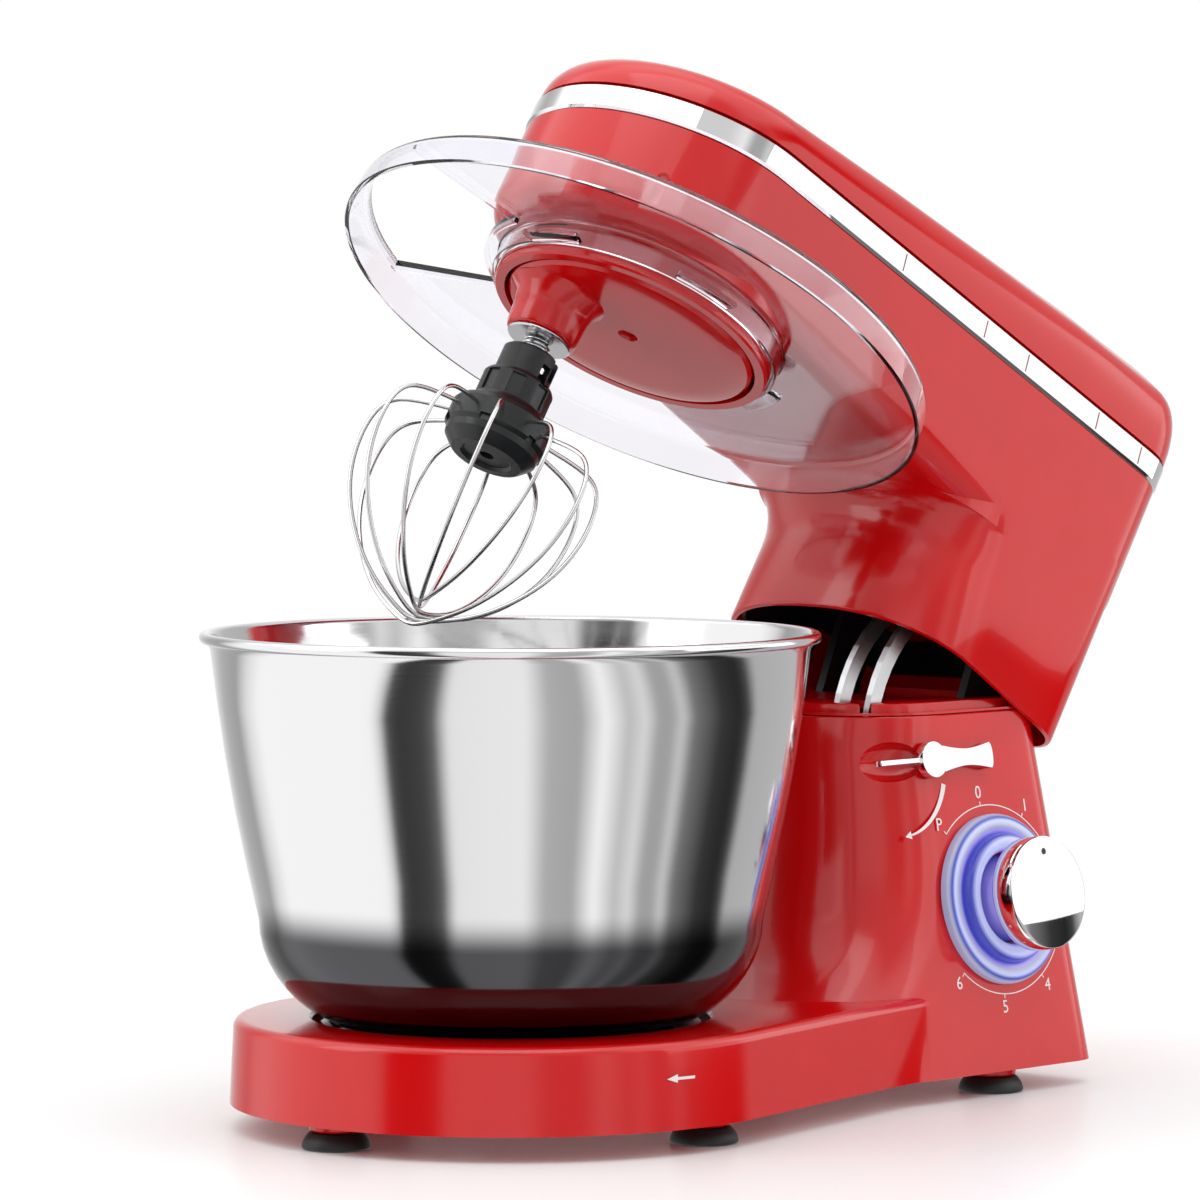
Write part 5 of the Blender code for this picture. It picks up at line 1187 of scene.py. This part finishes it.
def arrowMark(a):
    # a tapering curve from under the lever down to the front, with a head at its end
    points, widths = [], []
    for i in range(25):
        t = i / 24
        turn = a["start"] + (a["end"] - a["start"]) * t
        points.append((a["centre"][0] + a["radius"] * math.cos(turn),
                       a["centre"][1] + a["radius"] * math.sin(turn)))
        widths.append(a["wide"] * (1 - t) ** 0.8 + 0.0006)
    strokeMark("leverArrow", points, 0, leverWall, widths)
    tip, back = points[-1], Vector((points[-2][0] - points[-1][0], points[-2][1] - points[-1][1])).normalized()
    side = Vector((-back.y, back.x))
    size = a["head"]
    corners = [(tip[0] - back.x * size, tip[1] - back.y * size),
               (tip[0] + back.x * size * 0.3 + side.x * size * 0.55,
                tip[1] + back.y * size * 0.3 + side.y * size * 0.55),
               (tip[0] + back.x * size * 0.3 - side.x * size * 0.55,
                tip[1] + back.y * size * 0.3 - side.y * size * 0.55)]
    finished(slab("leverArrowHead", corners, 0.00006, 0.00014), paint["markWhite"], "base", "chrome_trim",
             place=leverWall)


dialMarks({"first": math.radians(-43), "step": math.radians(38), "arc": 0.0395, "text": 0.0450, "size": 0.0075,
           "tick": 0.0018, "line": 0.00045})
arrowMark({"centre": (0.0005, -0.0200), "radius": 0.0299, "start": math.radians(71), "end": math.radians(7),
           "wide": 0.0020, "head": 0.0030})


def baseArrow(b):
    # an arrow round the rim of the base that shows which way the bowl locks
    middle, reach = math.radians(b["turn"]), b["length"] / b["radius"] / 2

    def onRim(shift, height):
        angle = middle + shift
        return (b["radius"] * math.cos(angle), b["radius"] * math.sin(angle), height)

    shaft = [onRim(reach * (-0.3 + 1.3 * i / 8), b["height"] + b["width"] / 2) for i in range(9)]
    shaft += [onRim(reach * (-0.3 + 1.3 * i / 8), b["height"] - b["width"] / 2) for i in range(8, -1, -1)]
    head = [onRim(-reach, b["height"]), onRim(-reach * 0.25, b["height"] + b["width"] * 1.5),
            onRim(-reach * 0.25, b["height"] - b["width"] * 1.5)]
    for name, loop in (("lockArrowShaft", shaft), ("lockArrowHead", head)):
        deeper = [(x * 0.9992, y * 0.9992, z) for x, y, z in loop]
        finished(skinned(name, [deeper, loop]), paint["markWhite"], "base", "chrome_trim", place=home)


baseArrow({"turn": -9, "radius": 0.11205, "length": 0.0135, "height": 0.0300, "width": 0.0011})
print("controls and marks done")


# ---- the pieces that keep their plain shapes get a finish by what they are made of
slotPaint = {"red_plastic": "redGloss", "black_plastic": "blackSatin", "rubber": "blackRubber",
             "polished_steel": "bowlSteel", "wire_steel": "whiskWire", "machined_steel": "turnedSteel",
             "plated_steel": "platedSteel", "chrome_trim": "mirrorChrome", "clear_plastic": "clearGuard",
             "lit_plastic": "litRing", "cast_metal": "castMetal", "nylon": "gearNylon",
             "winding": "copperWinding", "board": "boardGreen"}
for subpart in frame["record"]["subparts"]:
    node = frame["nodes"][subpart["node"]]
    node.data.materials.clear()
    node.data.materials.append(paint[slotPaint[subpart["material_slot"]]])
    for polygon in node.data.polygons:
        polygon.material_index = 0
# the chassis and hinge bracket are painted near black instead of their metal grey: painted shade inside the neck and
# column
for node in ("head_chassis", "hinge_bracket"):
    frame["nodes"][node].data.materials[0] = paint["castInPaintedShade"]


# ---- pale floor that fades out with distance
def makeFloor(f):
    deselect()
    bpy.ops.mesh.primitive_circle_add(vertices=96, radius=f["size"], fill_type="NGON",
                                      location=(0, 0, -f["drop"]))
    floor = bpy.context.object
    floor.name = "studioFloor"
    mat = bpy.data.materials.new("studioFloor")
    mat.use_nodes = True
    tree = mat.node_tree
    shader = tree.nodes["Principled BSDF"]
    shader.inputs["Base Color"].default_value = (f["shade"],) * 3 + (1,)
    shader.inputs["Roughness"].default_value = f["roughness"]
    shader.inputs["Specular IOR Level"].default_value = f["specular"]
    distance = tree.nodes.new("ShaderNodeVectorMath")
    distance.operation = "LENGTH"
    connect(tree, patternSpace(tree), "Vector", distance, 0)
    fade = tree.nodes.new("ShaderNodeMapRange")
    fade.interpolation_type = "SMOOTHSTEP"
    for socket, value in (("From Min", f["solid"]), ("From Max", f["gone"]), ("To Min", 1), ("To Max", 0)):
        fade.inputs[socket].default_value = value
    connect(tree, distance, "Value", fade, "Value")
    connect(tree, fade, "Result", shader, "Alpha")
    floor.data.materials.append(mat)
    floor.visible_glossy = False  # the metal shows the soft boxes, not the floor


makeFloor({"size": 1.6, "solid": 0.26, "gone": 0.80, "shade": 0.86, "roughness": 0.35, "specular": 0.25,
           "drop": 0.0002})


# ---- studio: white all round, with dark gaps between the soft boxes for the metal to show
colorA, colorB, colorOut = 6, 7, 2  # the Mix node's colour sockets


def makeStudio(w):
    world = bpy.data.worlds.new("studio")
    bpy.context.scene.world = world
    world.use_nodes = True
    tree = world.node_tree
    light = tree.nodes["Background"]
    coords = tree.nodes.new("ShaderNodeTexCoord")
    turn = tree.nodes.new("ShaderNodeVectorRotate")
    turn.rotation_type = "Z_AXIS"
    turn.inputs["Angle"].default_value = math.radians(-w["facing"])
    connect(tree, coords, "Generated", turn, "Vector")
    split = tree.nodes.new("ShaderNodeSeparateXYZ")
    connect(tree, turn, "Vector", split, "Vector")
    around = tree.nodes.new("ShaderNodeMath")
    around.operation = "ARCTAN2"
    connect(tree, split, "Y", around, 0)
    connect(tree, split, "X", around, 1)
    share = tree.nodes.new("ShaderNodeMapRange")
    share.inputs["From Min"].default_value = -math.pi
    share.inputs["From Max"].default_value = math.pi
    connect(tree, around, "Value", share, "Value")

    def ramp(stops):
        fractions = [((angle + 180) / 360, (value / w["top"],) * 3) for angle, value in stops]
        node = fillRamp(tree.nodes.new("ShaderNodeValToRGB"), fractions)
        connect(tree, share, "Result", node, "Fac")
        return node.outputs["Color"]

    def mixed(factor, first, second=None):
        mix = tree.nodes.new("ShaderNodeMix")
        mix.data_type = "RGBA"
        tree.links.new(factor, mix.inputs["Factor"])
        tree.links.new(first, mix.inputs[colorA])
        if second:
            tree.links.new(second, mix.inputs[colorB])
        return mix

    def blend(low, high, first, second):
        height = tree.nodes.new("ShaderNodeMapRange")
        height.interpolation_type = "SMOOTHSTEP"
        height.inputs["From Min"].default_value = math.sin(math.radians(low))
        height.inputs["From Max"].default_value = math.sin(math.radians(high))
        connect(tree, split, "Z", height, "Value")
        return mixed(height.outputs["Result"], first, second).outputs[colorOut]

    upper = blend(*w["upperBand"], ramp(w["low"]), ramp(w["high"]))
    overhead = ramp([(-180, w["overhead"]), (180, w["overhead"])])
    whole = blend(*w["topBand"], upper, overhead)
    scale = tree.nodes.new("ShaderNodeVectorMath")
    scale.operation = "SCALE"
    scale.inputs["Scale"].default_value = w["top"]
    tree.links.new(whole, scale.inputs[0])
    path = tree.nodes.new("ShaderNodeLightPath")
    seen = tree.nodes.new("ShaderNodeMath")
    seen.operation = "MAXIMUM"
    connect(tree, path, "Is Camera Ray", seen, 0)
    connect(tree, path, "Is Transmission Ray", seen, 1)
    mix = mixed(seen.outputs["Value"], scale.outputs[0])
    mix.inputs[colorB].default_value = (w["backdrop"],) * 3 + (1,)
    tree.links.new(mix.outputs[colorOut], light.inputs["Color"])


makeStudio({
    "facing": -44.7, "top": 3.0, "backdrop": 1.0, "overhead": 1.7,
    "upperBand": (18, 34), "topBand": (45, 70),
    "low": [(-180, 1.0), (-152, 0.5), (-137, 0.4), (-128, 0.85), (-118, 1.12), (-58, 1.12), (-54, 0.8),
            (-51, 0.06), (-46, 0.04), (-36, 0.06), (-31, 0.12), (-25, 0.95), (6, 1.0), (15, 0.5), (28, 0.45),
            (38, 1.12), (48, 0.6), (55, 0.85), (61, 0.42), (67, 0.42), (72, 0.7), (78, 0.2), (92, 0.04), (103, 0.02),
            (108, 0.06), (114, 0.5), (148, 0.55), (165, 0.8), (180, 1.0)],
    "high": [(-180, 0.9), (-140, 0.8), (-130, 1.5), (-60, 1.5), (-50, 0.7), (45, 0.7), (62, 1.5), (118, 1.5),
             (130, 0.7), (180, 0.9)],
})


# soft boxes: one beside the head for the band and the knob, one high in front, one from the left
def softBox(name, s):
    deselect()
    bpy.ops.object.light_add(type="AREA", location=s["place"])
    box = bpy.context.object
    box.name = name
    box.data.shape = "RECTANGLE"
    box.data.size, box.data.size_y = s["size"]
    box.data.energy = s["power"]
    box.rotation_euler = (Vector(s["target"]) - Vector(s["place"])).to_track_quat("-Z", "Y").to_euler()
    box.visible_camera = False


softBoxes = {
    "sideBox": {"place": (0.62, 0.62, 0.31), "target": (0.05, 0.05, 0.28), "size": (1.1, 0.50), "power": 2.0},
    "topBox": {"place": (0.25, -0.35, 1.30), "target": (0, 0, 0.2), "size": (0.9, 0.9), "power": 2.5},
    "frontBox": {"place": (-0.55, -1.10, 0.75), "target": (0, 0, 0.2), "size": (0.5, 0.9), "power": 2.0},
}
for name, settings in softBoxes.items():
    softBox(name, settings)
print("floor, studio and lights done")
